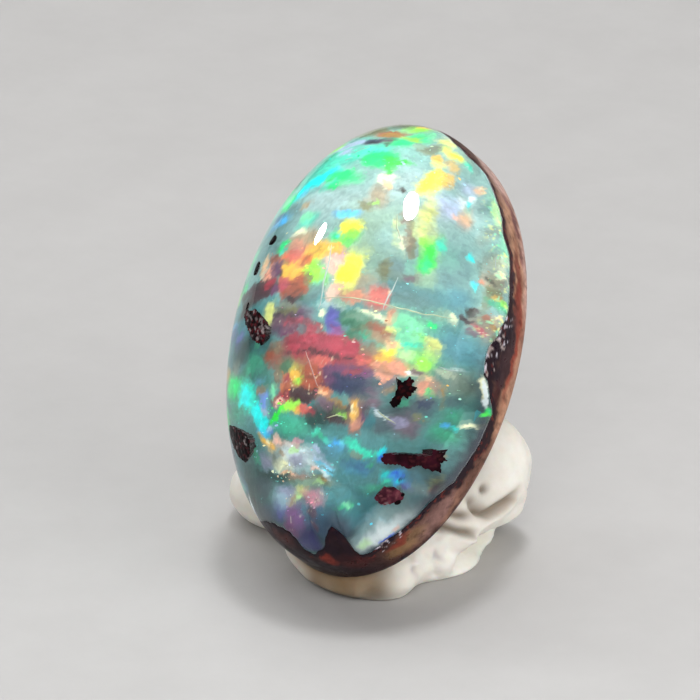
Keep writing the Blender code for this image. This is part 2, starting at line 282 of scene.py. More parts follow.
# Where the rim's colours lie: turn round the stone in tens of degrees, height in millimetres, half-sizes
# of both, slant in degrees, colour, softness and strength. The pale pink patches on the right are a painted
# sheen along the lit outer edge.
ROCK_PATCHES = (
    (2.4, 0.5, 5.0, 0.95, 0, "salmon", 0.4, 0.95), (3.2, 0.05, 4.4, 0.4, 0, "petal", 0.6, 0.9),
    (5.8, 0.8, 1.3, 0.6, 0, "petal", 0.5, 0.8), (4.3, 0.75, 0.35, 0.2, 20, "mulberry", 0.6, 0.7),
    (3.6, 0.62, 0.45, 0.18, -10, "mulberry", 0.6, 0.8), (2.6, 0.55, 0.3, 0.14, 10, "mulberry", 0.6, 0.6),
    (2.0, 0.95, 1.0, 0.2, 0, "rust", 0.5, 0.85), (1.2, 0.85, 0.8, 0.26, 0, "brick", 0.5, 0.85),
    (0.6, 0.4, 0.5, 0.12, 0, "brick", 0.6, 0.6), (-0.3, 1.12, 1.25, 0.42, 0, "plum", 0.35, 0.95),
    (-0.3, 0.66, 1.2, 0.12, 0, "brick", 0.5, 0.9), (-0.4, 0.25, 1.4, 0.3, 0, "tan", 0.5, 0.8),
    (-2.0, 1.15, 0.9, 0.4, 0, "maroon", 0.4, 0.9), (-1.8, 0.45, 0.9, 0.4, 0, "salmon", 0.6, 0.6),
    (-3.2, 1.3, 1.4, 0.28, 0, "plum", 0.4, 0.95), (-3.3, 0.6, 1.2, 0.5, 0, "taupe", 0.5, 0.9),
    (-2.9, 0.04, 1.6, 0.16, 0, "tan", 0.5, 0.7), (-4.1, 1.2, 0.45, 0.22, 0, "maroon", 0.5, 0.85),
    (-4.9, 0.85, 1.1, 0.45, 0, "dusty", 0.5, 0.95), (-4.4, 0.45, 0.6, 0.14, 10, "tan", 0.6, 0.6),
    (-6.1, 0.95, 0.7, 0.34, 0, "ochre", 0.5, 0.75), (-6.3, 1.25, 0.4, 0.16, 0, "brick", 0.5, 0.8),
    (-5.2, 0.06, 1.4, 0.24, 0, "plum", 0.6, 0.8), (-9.6, 0.85, 2.6, 1.1, 0, "ink", 0.35, 0.95),
    (-6.4, 0.1, 0.9, 0.26, 0, "ink", 0.5, 0.9), (-7.9, 1.5, 0.6, 0.5, 0, "maroon", 0.5, 0.9),
    (-8.1, 2.6, 0.9, 0.8, 0, "ink", 0.4, 0.95), (-8.8, 1.85, 0.28, 0.3, 30, "brick", 0.5, 0.9),
    (-10.8, 2.3, 1.5, 1.0, 0, "ink", 0.4, 0.95), (-10.6, 2.6, 0.6, 0.35, 0, "maroon", 0.5, 0.9),
    (9.0, 2.0, 1.4, 1.6, 0, "ochre", 0.5, 0.7), (8.4, 2.7, 0.5, 0.4, 0, "rust", 0.5, 0.8),
    (9.6, 2.6, 0.4, 0.4, 0, "olive", 0.5, 0.8),
)


def seam_at(turn, seam=SEAM):
    return np.interp(turn % (2 * np.pi), np.append(TURNS, 2 * np.pi), np.append(seam, seam[0]))


# How far the dark skin reaches into the rock below the seam: turn in degrees, reach in radians.
SKIN_REACH = (
    (-180, 0.05), (-115, 0.06), (-60, 0.05), (-45, 0.07), (-36, 0.11), (-20, 0.11), (-12, 0.08),
    (-8, 0.20), (2, 0.20), (7, 0.10), (15, 0.07), (27, 0.07), (34, 0.045), (60, 0.03), (180, 0.04),
)


SKIN_COVER, EMBER_COVER, CRYSTAL_AND_GLINT_COVER, OCHRE_CRYSTALS = 0.95, 0.6, 0.95, 0.6
VEIN_DARKENING, FLECK_DARKENING = 0.35, 0.35


def rock_ground(x, y, octaves):
    """The rhyolite's own umber and taupe mottles, and the fine darker veins that cross them."""
    mix = 0.5 + 0.5 * ramble(x, y, 0.8, 11, octaves)
    veins = smooth_drop(0.0, 0.10, np.abs(ramble(x, 0.6 * y, 0.9, 91, octaves)))
    darkening = (1.0 - VEIN_DARKENING * veins)[:, None]
    return tinted(ROCK_COLOURS["umber"], ROCK_COLOURS["taupe"], mix), darkening


def rock_colours(points):
    """Brown mottles along the rim, with a dark skin where the rock meets the opal."""
    x, y = map_places(points)
    turn = np.arctan2(y / MAP_HALF[1], x / MAP_HALF[0])
    along, height = np.degrees(turn) / 10.0, points[:, 2]
    ground, veins = rock_ground(x, y, 4)
    along = along + 0.16 * ramble(x, y, 0.7, 31, 4)
    height = height + 0.12 * ramble(x, y, 0.5, 41, 4)
    colours = daub(ground, along, height, ROCK_PATCHES, ROCK_COLOURS) * veins
    # the sawn back shows its own mottles alone
    back = smooth_drop(0.80, 0.96, np.hypot(*(points[:, :2] / HALF[:2]).T)) * (points[:, 2] < 0.3)
    ground, veins = rock_ground(points[:, 0], points[:, 1], 3)
    colours = tinted(colours, ground * veins, back)
    # the dark skin, nearly black under the foot, and the brick-red embers in it
    past = 0.5 * np.pi * np.hypot(x / MAP_HALF[0], y / MAP_HALF[1]) - seam_at(turn)
    ragged = past + 0.03 * ramble(x, y, 0.3, 51, 4)
    reach = np.interp(np.degrees(turn), *np.transpose(SKIN_REACH))
    skin = SKIN_COVER * smooth_drop(0.7 * reach, 1.2 * reach, ragged) * (points[:, 2] > 0.1)
    under = smooth_step(-12.5, -11.5, along) * smooth_drop(1.0, 1.6, along)
    colours = tinted(colours, tinted(ROCK_COLOURS["plum"], ROCK_COLOURS["ink"], under), skin)
    ember = smooth_step(0.5, 0.8, ramble(x, y, 0.14, 95, 2)) * smooth_drop(0.03, 0.16, past)
    tongue = (np.abs(along + 9.8) < 2.4) & (height > 2.0)
    ember = ember * np.where(tongue, 0.15, 1.0)
    colours = tinted(colours, ROCK_COLOURS["brick"], EMBER_COVER * ember)
    # tiny crystals in two hollows of the seam, white and ochre; the white specks are painted glints
    hollows = (np.abs(along + 0.2) < 0.9) & (past < 0.16) | (np.abs(along + 6.4) < 0.5) & (past < 0.10)
    sparkle = ramble(x, y, 0.15, 97, 3) + 0.50 * smooth_drop(0.0, 0.06, ragged)
    warmth = OCHRE_CRYSTALS * smooth_step(-0.1, 0.3, cloud(x, y, 0.16, 99))
    crystal_and_glint = tinted(ROCK_COLOURS["frost"], ROCK_COLOURS["ochre"], warmth)
    colours = tinted(colours, crystal_and_glint, CRYSTAL_AND_GLINT_COVER * smooth_step(0.62, 0.80, sparkle) * hollows)
    flecks = (1.0 - back) * smooth_step(0.55, 0.75, ramble(x, y, 0.22, 61, 2))
    return colours * (1.0 - FLECK_DARKENING * flecks)[:, None]


BACK_RINGS, BEVEL_RINGS, EDGE_RINGS, UNDER_RINGS = 56, 7, 34, 14
SEAM_LAP = 0.02  # millimetres that the rock stays below the opal where they meet


def rock_rings():
    """From the middle of the back, out and up the edge to the seam, then in under the opal."""
    half = HALF[:2]
    round_ways = np.stack((np.cos(TURNS), np.sin(TURNS)), -1)
    rings = []
    for share in np.linspace(0.02, 1.0, BACK_RINGS):
        edge = round_ways * (half - BACK_BEVEL) * share
        rings.append(np.column_stack((edge, np.zeros(RIM_SEGMENTS))))
    for turn in np.linspace(0.0, 0.5 * np.pi, BEVEL_RINGS)[1:]:
        edge = round_ways * (half - BACK_BEVEL * (1.0 - math.sin(turn)))
        height = np.full(RIM_SEGMENTS, BACK_BEVEL * (1.0 - math.cos(turn)))
        rings.append(np.column_stack((edge, height)))
    foot = math.atan2(1.0, (BACK_BEVEL - GIRDLE_HEIGHT) / HALF[2])
    for share in np.linspace(0.0, 1.0, EDGE_RINGS)[1:]:
        places = TURN_WAYS * ((foot + (SEAM - foot) * share) / (0.5 * np.pi))[:, None]
        rings.append(over_dome(places[:, 0], places[:, 1]))
    seam = rings[-1]
    for share in np.linspace(0.97, 0.05, UNDER_RINGS):
        flat = seam[:, :2] * share
        below = np.minimum(rock_tops(flat), seam[:, 2] - SEAM_LAP)
        rings.append(np.column_stack((flat, below - SEAM_LAP)))
    return np.array(rings)


def make_group(name, inputs, outputs):
    """An empty node group with its named sockets, and its input and output nodes."""
    made = bpy.data.node_groups.new(name, "ShaderNodeTree")
    for label, kind, value in inputs:
        socket = made.interface.new_socket(label, in_out="INPUT", socket_type=kind)
        socket.default_value = value
    for label, kind in outputs:
        made.interface.new_socket(label, in_out="OUTPUT", socket_type=kind)
    return made, made.nodes.new("NodeGroupInput"), made.nodes.new("NodeGroupOutput")


def add_node(tree, kind, links=(), **settings):
    """A node with its settings. Each link is an input's name or number and the socket or value for it."""
    made = tree.nodes.new(kind)
    for key, value in settings.items():
        setattr(made, key, value)
    for place, source in links:
        if isinstance(source, bpy.types.NodeSocket):
            tree.links.new(source, made.inputs[place])
        else:
            made.inputs[place].default_value = source
    return made


def make_mottle():
    """Fine light and dark grain over a colour, with the height of the same grain for a bump."""
    made, given, result = make_group(
        "mineral_mottle",
        (
            ("Colour", "NodeSocketColor", (0.5, 0.5, 0.5, 1.0)),
            ("Dark", "NodeSocketColor", (0.0, 0.0, 0.0, 1.0)),
            ("Grains in a Metre", "NodeSocketFloat", 3000.0),
            ("Darkening", "NodeSocketFloat", 0.4),
            ("Stretch", "NodeSocketVector", (1.0, 1.0, 1.0)),
        ),
        (("Colour", "NodeSocketColor"), ("Height", "NodeSocketFloat"), ("Grain", "NodeSocketFloat")),
    )
    place = add_node(made, "ShaderNodeTexCoord")
    stretched = add_node(
        made, "ShaderNodeVectorMath", ((0, place.outputs["Object"]), (1, given.outputs["Stretch"])),
        operation="MULTIPLY",
    )
    coarse = add_node(
        made, "ShaderNodeTexNoise",
        (("Vector", stretched.outputs[0]), ("Scale", given.outputs["Grains in a Metre"]),
         ("Detail", 6.0), ("Roughness", 0.62)),
    )
    grains = add_node(
        made, "ShaderNodeTexVoronoi",
        (("Vector", stretched.outputs[0]), ("Scale", given.outputs["Grains in a Metre"])),
    )
    spread = add_node(
        made, "ShaderNodeMapRange",
        (("Value", coarse.outputs[0]), ("From Min", 0.35), ("From Max", 0.65)),
    )
    share = add_node(
        made, "ShaderNodeMath", ((0, spread.outputs[0]), (1, given.outputs["Darkening"])),
        operation="MULTIPLY",
    )
    mixed = add_node(
        made, "ShaderNodeMix",
        ((0, share.outputs[0]), (6, given.outputs["Colour"]), (7, given.outputs["Dark"])),
        data_type="RGBA",
    )
    height = add_node(
        made, "ShaderNodeMath", ((0, coarse.outputs[0]), (1, grains.outputs["Distance"])),
        operation="ADD",
    )
    made.links.new(mixed.outputs[2], result.inputs["Colour"])
    made.links.new(height.outputs[0], result.inputs["Height"])
    made.links.new(coarse.outputs[0], result.inputs["Grain"])
    return made


MOTTLE = make_mottle()


def new_material(name, **plain):
    """A material and its shader, with plain values set on the shader's own sockets."""
    made = bpy.data.materials.new(name)
    made.use_nodes = True
    shader = made.node_tree.nodes["Principled BSDF"]
    for socket, value in plain.items():
        shader.inputs[socket.replace("_", " ").title().replace("Ior", "IOR")].default_value = value
    return made, made.node_tree, shader


def mottled(tree, colour, dark, darkening, grains=3000.0, stretch=(1.0, 1.0, 1.0)):
    """The mineral mottle placed in a material, over a colour or a colour socket."""
    return add_node(
        tree, "ShaderNodeGroup",
        (("Colour", colour), ("Dark", (*dark, 1.0)), ("Darkening", darkening),
         ("Grains in a Metre", grains), ("Stretch", stretch)),
        node_tree=MOTTLE,
    )


def painted_light_and_colour_material(name, mottles, relief=None, glow=False, **plain):
    """A material that shows a mesh's point colours, painted light among them, under mottles, the last of
    which also stands up as relief.
    """
    made, tree, shader = new_material(name, **plain)
    colour = add_node(tree, "ShaderNodeVertexColor", layer_name="colour_and_painted_light").outputs["Color"]
    for mottle in mottles:
        grain = mottled(tree, colour, *mottle)
        colour = grain.outputs["Colour"]
    tree.links.new(colour, shader.inputs["Base Color"])
    # with glow the colours are also emitted: a painted glow, though the part is no lamp
    if glow:
        tree.links.new(colour, shader.inputs["Emission Color"])
    if relief:
        strength, distance = relief
        bump = add_node(
            tree, "ShaderNodeBump",
            (("Strength", strength), ("Distance", distance), ("Height", grain.outputs["Height"])),
        )
        tree.links.new(bump.outputs[0], shader.inputs["Normal"])
    return made, tree, shader, grain


def make_rock_material():
    made, tree, shader, grain = painted_light_and_colour_material(
        "polished_rhyolite", [((0.03, 0.012, 0.012), 0.45, 2600.0)], relief=(0.25, 0.00004),
        specular_ior_level=0.10,
    )
    shine = add_node(
        tree, "ShaderNodeMapRange",
        (("Value", grain.outputs["Grain"]), ("From Min", 0.3), ("From Max", 0.7), ("To Min", 0.22),
         ("To Max", 0.5)),
    )
    tree.links.new(shine.outputs[0], shader.inputs["Roughness"])
    return made


SAW_ROUGHNESS, SAW_MARKS = 0.018, 0.006


def make_rock():
    rings = rock_rings()
    flat = rings.reshape(-1, 3)
    x, y = flat[:, 0], flat[:, 1]
    saw = SAW_ROUGHNESS * ramble(x, y, 0.5, 71, 4)
    saw = saw + SAW_MARKS * np.sin(9.0 * y + 2.0 * cloud(x, y, 2.0, 81))
    flat[:, 2] += (flat[:, 2] < 0.001) * np.maximum(saw, 0.0)
    made = ringed_mesh("rhyolite", to_world(flat).reshape(rings.shape))
    ends = np.stack((rings[0].mean(0), rings[-1].mean(0)))
    give_colour_and_painted_light(made, rock_colours(np.concatenate((flat, ends))))
    made.data.materials.append(make_rock_material())
    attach(made, "root")
    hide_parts("rhyolite_matrix")


make_rock()


# The fire. The body of play-of-colour opal that fills the dome above the rock. It is a milky layer of
# packed silica spheres, about two thirds of a millimetre down, and each patch throws its own colour.
FIRE_DEPTH, FIRE_EDGE_DEPTH, FIRE_EDGE_GAP = 0.70, 0.04, 0.005
FIRE_ROWS = 300
HAZE_SOFTNESS, HAZE_STRENGTH, DETAIL_SOFTNESS, DETAIL_STRENGTH = 0.75, 0.75, 0.36, 0.92
FIRE_COLOURS = paints(
    teal=(86, 150, 148), deep_teal=(34, 124, 136), sea=(84, 142, 148), slate=(110, 140, 142),
    aqua=(146, 182, 178), haze=(168, 188, 188), moss=(150, 178, 156), mint=(130, 222, 170),
    turquoise=(60, 226, 190), emerald=(10, 236, 126), green=(36, 240, 48), lime=(160, 240, 70),
    yellow=(248, 244, 54), straw=(224, 222, 128), amber=(248, 184, 62), orange=(226, 112, 52),
    rust=(182, 84, 48), salmon=(226, 146, 118), coral=(222, 98, 86), rose=(202, 74, 90),
    crimson=(176, 46, 62), maroon=(92, 30, 42), plum=(124, 62, 106), indigo=(46, 34, 92),
    violet=(96, 84, 176), magenta=(156, 76, 140), pink=(224, 150, 166), lavender=(186, 192, 222),
    azure=(70, 172, 240), blue=(40, 96, 245), cyan=(0, 240, 240), cream=(242, 236, 196),
    white=(240, 244, 246), tan=(188, 156, 122), olive=(136, 128, 84), umber=(84, 66, 54),
    fern=(60, 128, 92), pine=(44, 78, 70), jade=(66, 178, 138), navy=(36, 38, 84), night=(34, 32, 52),
    garnet=(192, 60, 78), black=(26, 16, 20), ochre=(182, 132, 58), brown=(152, 124, 98),
    mauve=(132, 94, 112), smoke=(140, 142, 126), sky=(110, 206, 232), denim=(68, 106, 148),
    steel=(92, 148, 168), lilac=(156, 144, 178), peach=(238, 184, 140), blush=(244, 190, 172),
    spring=(186, 226, 150), shade=(82, 96, 104), wine=(92, 16, 28), periwinkle=(116, 146, 222),
    seafoam=(128, 184, 168),
)
# The strokes of colour, in the order they are laid: place on the laid-out dome and half-sizes, all in
# hundredths of a millimetre, slant in degrees and colour. Broad soft fields come first, and they and the
# patches after them have their own softness and strength.
FIRE_FIELDS = (
    (-160, 620, 260, 180, 30, "turquoise", 0.7, 0.3), (40, 390, 320, 110, 0, "haze", 0.6, 0.9),
    (420, 420, 180, 240, 0, "aqua", 0.6, 0.9), (390, 440, 100, 120, 0, "haze", 0.7, 0.8),
    (140, 230, 130, 130, 0, "moss", 0.6, 0.9), (430, 160, 160, 160, 0, "aqua", 0.7, 0.6),
    (410, 220, 100, 90, 0, "slate", 0.3, 0.5), (340, 60, 150, 55, -4, "sea", 0.4, 0.8),
    (-320, 260, 120, 120, 0, "slate", 0.6, 0.7), (-360, -80, 140, 130, 0, "deep_teal", 0.6, 0.8),
    (340, -90, 120, 100, 0, "mint", 0.6, 0.8), (520, -100, 120, 100, 0, "teal", 0.6, 0.8),
    (500, -320, 170, 150, 0, "fern", 0.7, 0.35), (260, -640, 300, 220, 0, "sea", 0.7, 0.8),
    (160, -780, 190, 150, 0, "deep_teal", 0.7, 0.8), (440, -620, 140, 120, 0, "slate", 0.7, 0.6),
    (-340, -440, 150, 160, 0, "teal", 0.6, 0.8), (-320, -720, 140, 180, 0, "pine", 0.6, 0.9),
    (-560, -50, 100, 130, 0, "sea", 0.6, 0.7), (-560, -440, 100, 150, 0, "deep_teal", 0.6, 0.7),
    (-120, -860, 220, 140, 0, "pine", 0.6, 0.7),
)
FIRE_PATCHES = (
    # the far left side
    (-460, 440, 70, 35, 50, "turquoise", 0.5, 0.9), (-510, 350, 50, 30, 60, "emerald", 0.45, 0.9),
    (-610, 350, 30, 45, 20, "yellow", 0.5, 0.6), (-470, 220, 40, 50, 0, "mint", 0.6, 0.8),
    (-560, 240, 35, 60, 10, "cyan", 0.5, 0.85), (-520, 100, 45, 35, 0, "lime", 0.5, 0.7),
    (-600, 90, 40, 50, 10, "emerald", 0.5, 0.8), (-480, -30, 45, 30, 0, "azure", 0.5, 0.7),
    (-570, -90, 50, 45, 0, "turquoise", 0.5, 0.85), (-640, -170, 30, 60, 0, "deep_teal", 0.6, 0.8),
    (-510, -190, 55, 28, -20, "amber", 0.5, 0.6), (-550, -240, 40, 25, -20, "rust", 0.5, 0.6),
    (-530, -360, 60, 40, -30, "emerald", 0.5, 0.85), (-610, -320, 30, 50, 0, "cyan", 0.5, 0.8),
    (-490, -500, 45, 35, -30, "indigo", 0.6, 0.7), (-520, -570, 40, 30, -30, "violet", 0.6, 0.6),
    (-460, -630, 45, 30, -40, "turquoise", 0.5, 0.7), (-470, 590, 50, 30, 45, "lavender", 0.5, 0.7),
    # round the top
    (30, 900, 160, 60, 0, "olive", 0.5, 0.9), (-150, 800, 70, 40, 10, "olive", 0.5, 0.8),
    (-10, 775, 75, 38, -8, "rust", 0.3, 0.95), (-50, 695, 45, 28, -6, "plum", 0.4, 0.8),
    (10, 715, 40, 20, 0, "umber", 0.4, 0.6), (-170, 690, 60, 35, 20, "lavender", 0.5, 0.8),
    (-230, 720, 28, 22, 20, "lime", 0.4, 0.9), (80, 830, 60, 30, 0, "lime", 0.5, 0.6),
    (120, 760, 45, 28, -10, "emerald", 0.5, 0.8), (60, 690, 60, 35, 0, "emerald", 0.6, 0.7),
    (190, 690, 40, 25, 0, "olive", 0.5, 0.8), (40, 565, 68, 50, -10, "emerald", 0.4, 1.0),
    (-10, 630, 60, 30, 0, "turquoise", 0.5, 0.7), (135, 560, 42, 14, 20, "green", 0.3, 1.0),
    (95, 530, 25, 20, 0, "green", 0.4, 0.8), (100, 465, 34, 26, 0, "cream", 0.4, 0.95),
    (-220, 475, 95, 34, 33, "cyan", 0.4, 1.0), (-130, 500, 40, 20, 10, "turquoise", 0.5, 0.9),
    (-70, 475, 40, 30, 10, "emerald", 0.35, 1.0), (-120, 435, 45, 20, 10, "turquoise", 0.4, 0.8),
    (-335, 420, 30, 40, 0, "emerald", 0.5, 0.9),
    # the yellow sheet, upper right
    (265, 520, 32, 80, -12, "yellow", 0.5, 0.95), (315, 560, 28, 50, -10, "amber", 0.4, 0.9),
    (260, 710, 36, 20, -30, "yellow", 0.5, 0.7), (300, 650, 30, 20, -30, "amber", 0.4, 0.7),
    (295, 430, 24, 40, 0, "straw", 0.5, 0.75), (295, 360, 35, 40, 0, "straw", 0.5, 0.8),
    (390, 500, 24, 30, 0, "white", 0.5, 0.8), (430, 475, 16, 22, 0, "cyan", 0.5, 0.8),
    (430, 410, 26, 45, 0, "salmon", 0.6, 0.5), (350, 450, 40, 60, 0, "lavender", 0.6, 0.8),
    (500, 580, 25, 70, 15, "mint", 0.6, 0.5), (600, 440, 30, 100, 12, "mint", 0.6, 0.5),
    # across the middle
    (95, 385, 35, 50, 0, "tan", 0.6, 0.45), (55, 335, 22, 25, 0, "olive", 0.5, 0.4),
    (176, 425, 12, 12, 0, "umber", 0.4, 0.7), (-330, 330, 60, 28, 10, "azure", 0.5, 0.8),
    (5, 298, 50, 15, 4, "azure", 0.4, 0.9), (-155, 290, 40, 28, 0, "turquoise", 0.5, 0.7),
    (-150, 210, 90, 30, 5, "tan", 0.4, 0.8), (10, 220, 30, 20, 0, "emerald", 0.4, 0.9),
    (50, 250, 42, 24, 14, "yellow", 0.35, 1.0), (42, 215, 34, 20, 0, "green", 0.5, 0.8),
    (-220, 200, 24, 18, 0, "turquoise", 0.4, 0.9), (200, 260, 7, 55, 16, "straw", 0.4, 0.9),
    (260, 240, 15, 100, 18, "olive", 0.3, 0.85), (305, 240, 14, 90, 16, "straw", 0.5, 0.5),
    (345, 230, 30, 62, -8, "lime", 0.6, 0.8), (340, 210, 20, 40, -8, "green", 0.3, 1.0),
    (362, 275, 16, 20, 0, "turquoise", 0.5, 0.8), (500, 280, 16, 14, 0, "cyan", 0.4, 0.9),
    (530, 180, 14, 16, 0, "cyan", 0.4, 0.9), (610, 320, 25, 40, 0, "cream", 0.5, 0.7),
    (575, 230, 24, 30, 0, "tan", 0.5, 0.7), (615, 190, 24, 30, 0, "olive", 0.4, 0.9),
    (625, 170, 14, 14, 0, "amber", 0.4, 0.8), (650, 145, 20, 22, 0, "emerald", 0.5, 0.7),
    (195, 115, 22, 34, 0, "olive", 0.35, 0.8), (260, 120, 50, 22, 0, "olive", 0.5, 0.5),
    # the amber and rust patch, left of the middle
    (-130, 145, 60, 50, 0, "coral", 0.4, 0.9), (-45, 175, 75, 28, 4, "amber", 0.35, 0.95),
    (-160, 110, 42, 50, 0, "amber", 0.35, 0.95), (-105, 92, 30, 28, 0, "amber", 0.4, 0.9),
    (-62, 110, 36, 36, 0, "lime", 0.4, 0.95), (-30, 62, 30, 30, 0, "lime", 0.6, 0.7),
    (30, 135, 34, 42, 0, "pink", 0.4, 0.9), (82, 120, 42, 72, -6, "yellow", 0.3, 1.0),
    (-120, 50, 50, 42, 10, "rust", 0.22, 1.0), (-165, 75, 30, 30, 0, "crimson", 0.4, 0.9),
    (-200, 125, 28, 34, 0, "umber", 0.35, 0.9), (-200, 168, 40, 12, 0, "orange", 0.4, 0.9),
    (-270, 120, 20, 50, -14, "salmon", 0.4, 0.95), (-310, 52, 100, 26, 12, "maroon", 0.3, 1.0),
    (-390, 20, 40, 26, 10, "umber", 0.4, 0.9), (-220, 62, 30, 20, 0, "maroon", 0.5, 0.8),
    (-440, 110, 25, 30, 0, "emerald", 0.5, 0.7), (-80, 12, 80, 20, 0, "sea", 0.4, 0.9),
    (110, 32, 65, 22, -4, "salmon", 0.4, 0.85), (200, 32, 32, 36, 0, "coral", 0.35, 0.95),
    (250, -20, 24, 18, 0, "salmon", 0.5, 0.9), (475, 18, 20, 14, 0, "cream", 0.5, 0.7),
    (585, 35, 40, 34, 0, "brown", 0.5, 0.8), (635, 75, 20, 20, 0, "tan", 0.5, 0.8),
    (-215, -35, 32, 42, 0, "straw", 0.6, 0.7), (-390, -85, 30, 34, 0, "violet", 0.6, 0.8),
    (-120, -50, 90, 46, 4, "plum", 0.4, 0.85), (-140, -35, 50, 25, 0, "umber", 0.5, 0.6),
    (-50, -75, 30, 20, 0, "rose", 0.5, 0.8), (56, -55, 22, 42, 6, "violet", 0.4, 0.9),
    (135, -45, 75, 24, -12, "fern", 0.35, 0.9), (230, -78, 42, 30, -20, "rust", 0.4, 0.85),
    (160, -80, 40, 14, -14, "olive", 0.4, 0.8), (330, -40, 40, 30, 0, "mint", 0.5, 0.8),
    (370, -75, 25, 20, 0, "lime", 0.6, 0.6), (420, -110, 30, 30, 0, "straw", 0.6, 0.7),
    # the crimson band
    (40, -136, 165, 40, -2, "garnet", 0.15, 1.0), (120, -178, 100, 26, -3, "crimson", 0.3, 0.9),
    (20, -98, 120, 5, -1, "rose", 0.6, 0.6), (10, -147, 120, 3.5, -1, "maroon", 0.5, 0.8),
    (130, -162, 70, 3, -3, "maroon", 0.5, 0.6), (-155, -160, 45, 34, 10, "rust", 0.5, 0.85),
    (-110, -195, 34, 20, 20, "olive", 0.4, 0.9), (2, -230, 62, 42, -4, "rust", 0.22, 1.0),
    (0, -220, 40, 25, 0, "coral", 0.6, 0.6), (-62, -220, 24, 40, 8, "yellow", 0.5, 0.75),
    (-95, -250, 20, 50, 10, "orange", 0.4, 0.9), (-100, -295, 42, 20, 0, "crimson", 0.4, 0.95),
    (-20, -286, 75, 20, 2, "maroon", 0.3, 0.95), (130, -212, 95, 26, -4, "plum", 0.35, 0.95),
    (140, -252, 95, 28, -6, "indigo", 0.35, 0.95), (58, -274, 26, 16, 0, "orange", 0.4, 0.9),
    (120, -335, 50, 34, -4, "umber", 0.25, 1.0), (175, -345, 24, 66, 4, "rust", 0.25, 1.0),
    (174, -310, 14, 24, 0, "amber", 0.5, 0.8), (205, -340, 10, 42, 0, "maroon", 0.4, 0.9),
    (250, -172, 55, 40, -10, "orange", 0.5, 0.75), (260, -150, 22, 16, 0, "amber", 0.5, 0.8),
    (285, -115, 40, 16, 16, "straw", 0.4, 0.9), (310, -185, 40, 28, -8, "salmon", 0.3, 0.95),
    (350, -195, 12, 9, 0, "cream", 0.5, 0.9), (390, -150, 55, 40, 0, "lime", 0.6, 0.5),
    (490, -185, 40, 14, -8, "cream", 0.5, 0.6), (430, -240, 42, 32, 0, "salmon", 0.5, 0.65),
    (490, -280, 12, 42, -4, "olive", 0.4, 0.8), (442, -270, 14, 12, 0, "emerald", 0.5, 0.7),
    (420, -310, 45, 28, 0, "indigo", 0.6, 0.5), (385, -360, 36, 55, 0, "plum", 0.5, 0.55),
    (275, -340, 50, 7, -30, "lavender", 0.4, 0.9), (330, -340, 60, 40, -20, "slate", 0.6, 0.5),
    (540, -410, 60, 34, 0, "fern", 0.6, 0.6), (570, -395, 20, 14, 0, "cyan", 0.5, 0.6),
    (655, -380, 50, 10, 6, "cream", 0.4, 0.8), (705, -345, 25, 30, 0, "green", 0.5, 0.8),
    # the greens and cyans down the left side
    (-290, -190, 50, 30, 20, "fern", 0.5, 0.8), (-360, -130, 70, 40, 10, "pine", 0.5, 0.8),
    (-200, -230, 30, 50, 20, "fern", 0.6, 0.5), (-420, -245, 80, 42, 0, "emerald", 0.5, 1.0),
    (-300, -280, 62, 50, -20, "turquoise", 0.4, 1.0), (-290, -280, 36, 34, 0, "cyan", 0.6, 0.7),
    (-215, -365, 30, 60, 40, "cyan", 0.4, 1.0), (-195, -315, 22, 26, 0, "lavender", 0.4, 0.8),
    (-190, -400, 40, 16, 0, "azure", 0.5, 0.8), (-130, -345, 36, 12, 34, "green", 0.35, 1.0),
    (-75, -320, 28, 14, 14, "lime", 0.35, 1.0), (-25, -327, 32, 17, -12, "coral", 0.35, 1.0),
    (-30, -320, 14, 10, 0, "orange", 0.5, 0.8), (45, -350, 55, 36, 0, "pine", 0.5, 0.85),
    (-90, -375, 50, 22, 0, "turquoise", 0.6, 0.5), (-190, -442, 42, 12, -34, "amber", 0.35, 1.0),
    (-110, -442, 42, 17, 0, "salmon", 0.4, 0.9), (-45, -440, 22, 14, 0, "coral", 0.5, 0.8),
    # the pale bloom, lower left of the middle
    (-70, -495, 115, 55, -6, "haze", 0.5, 0.85), (-50, -485, 60, 30, 0, "white", 0.6, 0.7),
    (-110, -515, 50, 22, 0, "cream", 0.5, 0.8), (20, -520, 80, 10, -34, "white", 0.6, 0.8),
    (-10, -475, 70, 7, -30, "white", 0.6, 0.8), (-130, -562, 110, 14, -4, "pine", 0.4, 0.75),
    (-40, -560, 35, 14, 0, "salmon", 0.5, 0.6), (30, -575, 40, 16, 0, "tan", 0.5, 0.6),
    (-40, -620, 34, 26, 0, "straw", 0.5, 0.75), (15, -642, 50, 34, 0, "pink", 0.5, 0.65),
    (-110, -650, 50, 30, 0, "lavender", 0.6, 0.45), (-160, -685, 45, 28, 0, "violet", 0.6, 0.35),
    (-65, -720, 30, 60, 14, "magenta", 0.5, 0.95), (-45, -830, 50, 60, 0, "indigo", 0.5, 0.8),
    (-20, -720, 60, 50, 0, "violet", 0.7, 0.3),
    # the blues, lower right of the middle
    (55, -415, 34, 10, -34, "turquoise", 0.4, 0.95), (115, -450, 30, 20, -20, "azure", 0.5, 0.85),
    (205, -460, 66, 15, -28, "turquoise", 0.3, 1.0), (285, -488, 14, 28, -10, "azure", 0.35, 1.0),
    (200, -530, 40, 26, 0, "azure", 0.7, 0.45), (310, -572, 30, 20, -20, "cyan", 0.5, 0.8),
    (352, -595, 45, 34, -14, "azure", 0.35, 1.0), (355, -585, 20, 16, 0, "blue", 0.5, 0.9),
    (390, -630, 22, 14, 0, "blue", 0.5, 0.7), (145, -675, 34, 8, 6, "emerald", 0.5, 0.7),
    (110, -760, 80, 60, 0, "slate", 0.7, 0.4), (425, -645, 40, 30, 0, "haze", 0.6, 0.6),
    (500, -620, 30, 30, 0, "straw", 0.5, 0.8), (485, -645, 20, 14, 0, "salmon", 0.5, 0.7),
    (-170, -875, 90, 40, -20, "maroon", 0.4, 0.9), (60, -900, 55, 80, 0, "maroon", 0.4, 0.8),
)
